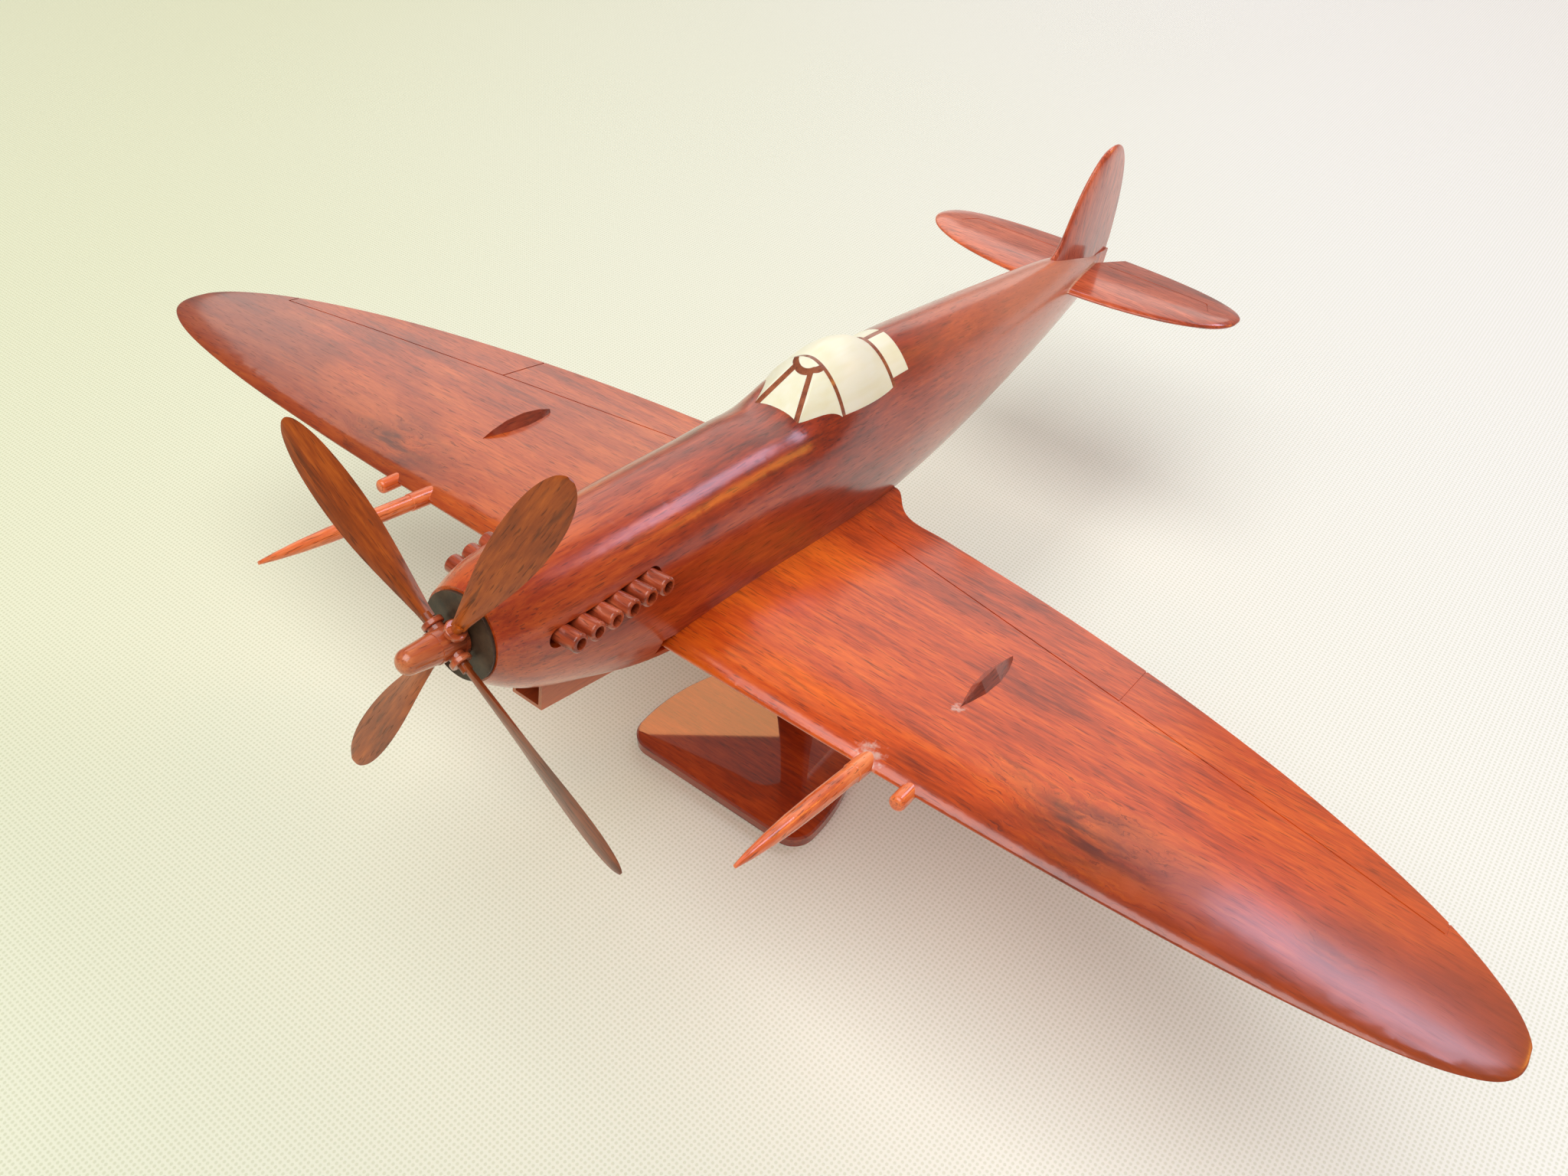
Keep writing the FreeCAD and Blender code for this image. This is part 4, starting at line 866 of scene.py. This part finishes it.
@dataclass(frozen=True)
class Lamp:
    """Rectangular soft light that faces the model; metres and watts."""

    name: str
    place: tuple[float, float, float]
    width: float
    height: float
    power: float
    colour: str

    def hang(self) -> None:
        """Add the light to the scene."""
        light = bpy.data.lights.new(self.name, "AREA")
        light.shape = "RECTANGLE"
        light.size = self.width
        light.size_y = self.height
        light.energy = self.power
        light.color = linear(self.colour)[:3]
        holder = bpy.data.objects.new(self.name, light)
        holder.location = self.place
        aim = MODEL_MIDDLE - Vector(self.place)
        holder.rotation_euler = aim.to_track_quat("-Z", "Y").to_euler()
        bpy.context.scene.collection.objects.link(holder)


LAMPS = (
    # Lavender streaks along the fuselage and on the wing tip.
    Lamp("window", (0.78, 3.48, 2.85), 1.35, 0.95, 28.0, "EAE0FF"),
    # Broad pale sheen on the rear of the wings and on the tail.
    Lamp("wall", (-2.11, 3.38, 2.00), 4.6, 2.7, 40.0, "FFFBF4"),
    # Most of the light on the wood and the cloth.
    Lamp("ceiling", (0.1, -0.9, 2.6), 2.4, 2.4, 70.0, "FFFFFF"),
    # Tan band in the polish of the base.
    Lamp("curtain", (-1.70, 2.26, 3.33), 0.95, 0.36, 5.2, "FFB070"),
    # Golden streak beside the lavender one on the nose.
    Lamp("lamp_shade", (2.25, 3.50, 1.70), 0.8, 0.8, 14.0, "FFAC40"),
)


@dataclass
class Studio:
    """Pale cloth floor, soft lights, sky and camera."""

    camera_place: tuple[float, float, float] = (0.17457, -0.23781, 0.37483)
    camera_turn: tuple[float, float, float] = (44.773, -1.380, 37.155)
    lens: float = 29.0
    sensor_width: float = 36.0
    floor_size: float = 8.0
    sky: str = "F4F4EC"
    sky_strength: float = 0.2
    seen_strength: float = 0.1

    def build(self) -> None:
        """Set the floor, lights, sky and camera."""
        self._floor()
        for lamp in LAMPS:
            lamp.hang()
        self._world()
        self._camera()

    def _floor(self) -> None:
        """Lay a flat cloth floor under the stand."""
        grid = bmesh.new()
        bmesh.ops.create_grid(grid, x_segments=1, y_segments=1, size=self.floor_size / 2)
        mesh = bpy.data.meshes.new("cloth_floor")
        grid.to_mesh(mesh)
        grid.free()
        floor = bpy.data.objects.new("cloth_floor", mesh)
        bpy.context.scene.collection.objects.link(floor)
        mesh.materials.append(BackdropCloth().build())

    def _world(self) -> None:
        """Even pale sky that lights the model softly."""
        world = bpy.data.worlds.new("pale_room")
        world.use_nodes = True
        tree = world.node_tree
        tree.nodes.clear()
        path = add_node(tree, "LightPath")
        seen = maths(tree, "MAXIMUM", path.outputs["Is Camera Ray"], path.outputs["Is Glossy Ray"])
        seen = maths(tree, "MAXIMUM", seen, path.outputs["Is Transmission Ray"])
        strength = scale_add(tree, seen, self.seen_strength, self.sky_strength)
        background = add_node(tree, "Background", {"Color": linear(self.sky), "Strength": strength})
        add_node(tree, "OutputWorld", {"Surface": background.outputs[0]})
        bpy.context.scene.world = world

    def _camera(self) -> None:
        """Place the camera at the viewing angle of a hand-held close view."""
        data = bpy.data.cameras.new("camera")
        data.lens = self.lens
        data.sensor_width = self.sensor_width
        data.clip_start = 0.01
        camera = bpy.data.objects.new("camera", data)
        camera.location = self.camera_place
        camera.rotation_euler = Euler([math.radians(angle) for angle in self.camera_turn], "XYZ")
        bpy.context.scene.collection.objects.link(camera)
        bpy.context.scene.camera = camera


def main() -> None:
    """Build every sub-assembly in order."""
    logging.basicConfig(level=logging.INFO, format="%(name)s %(message)s")
    for assembly in (Stand(), Fuselage(), Canopy(), Wings(), Tail(), Propeller(), Studio()):
        assembly.build()
        log.info("%s done", type(assembly).__name__)
    bpy.context.scene.view_settings.view_transform = "Standard"


if __name__ == "__main__":
    main()
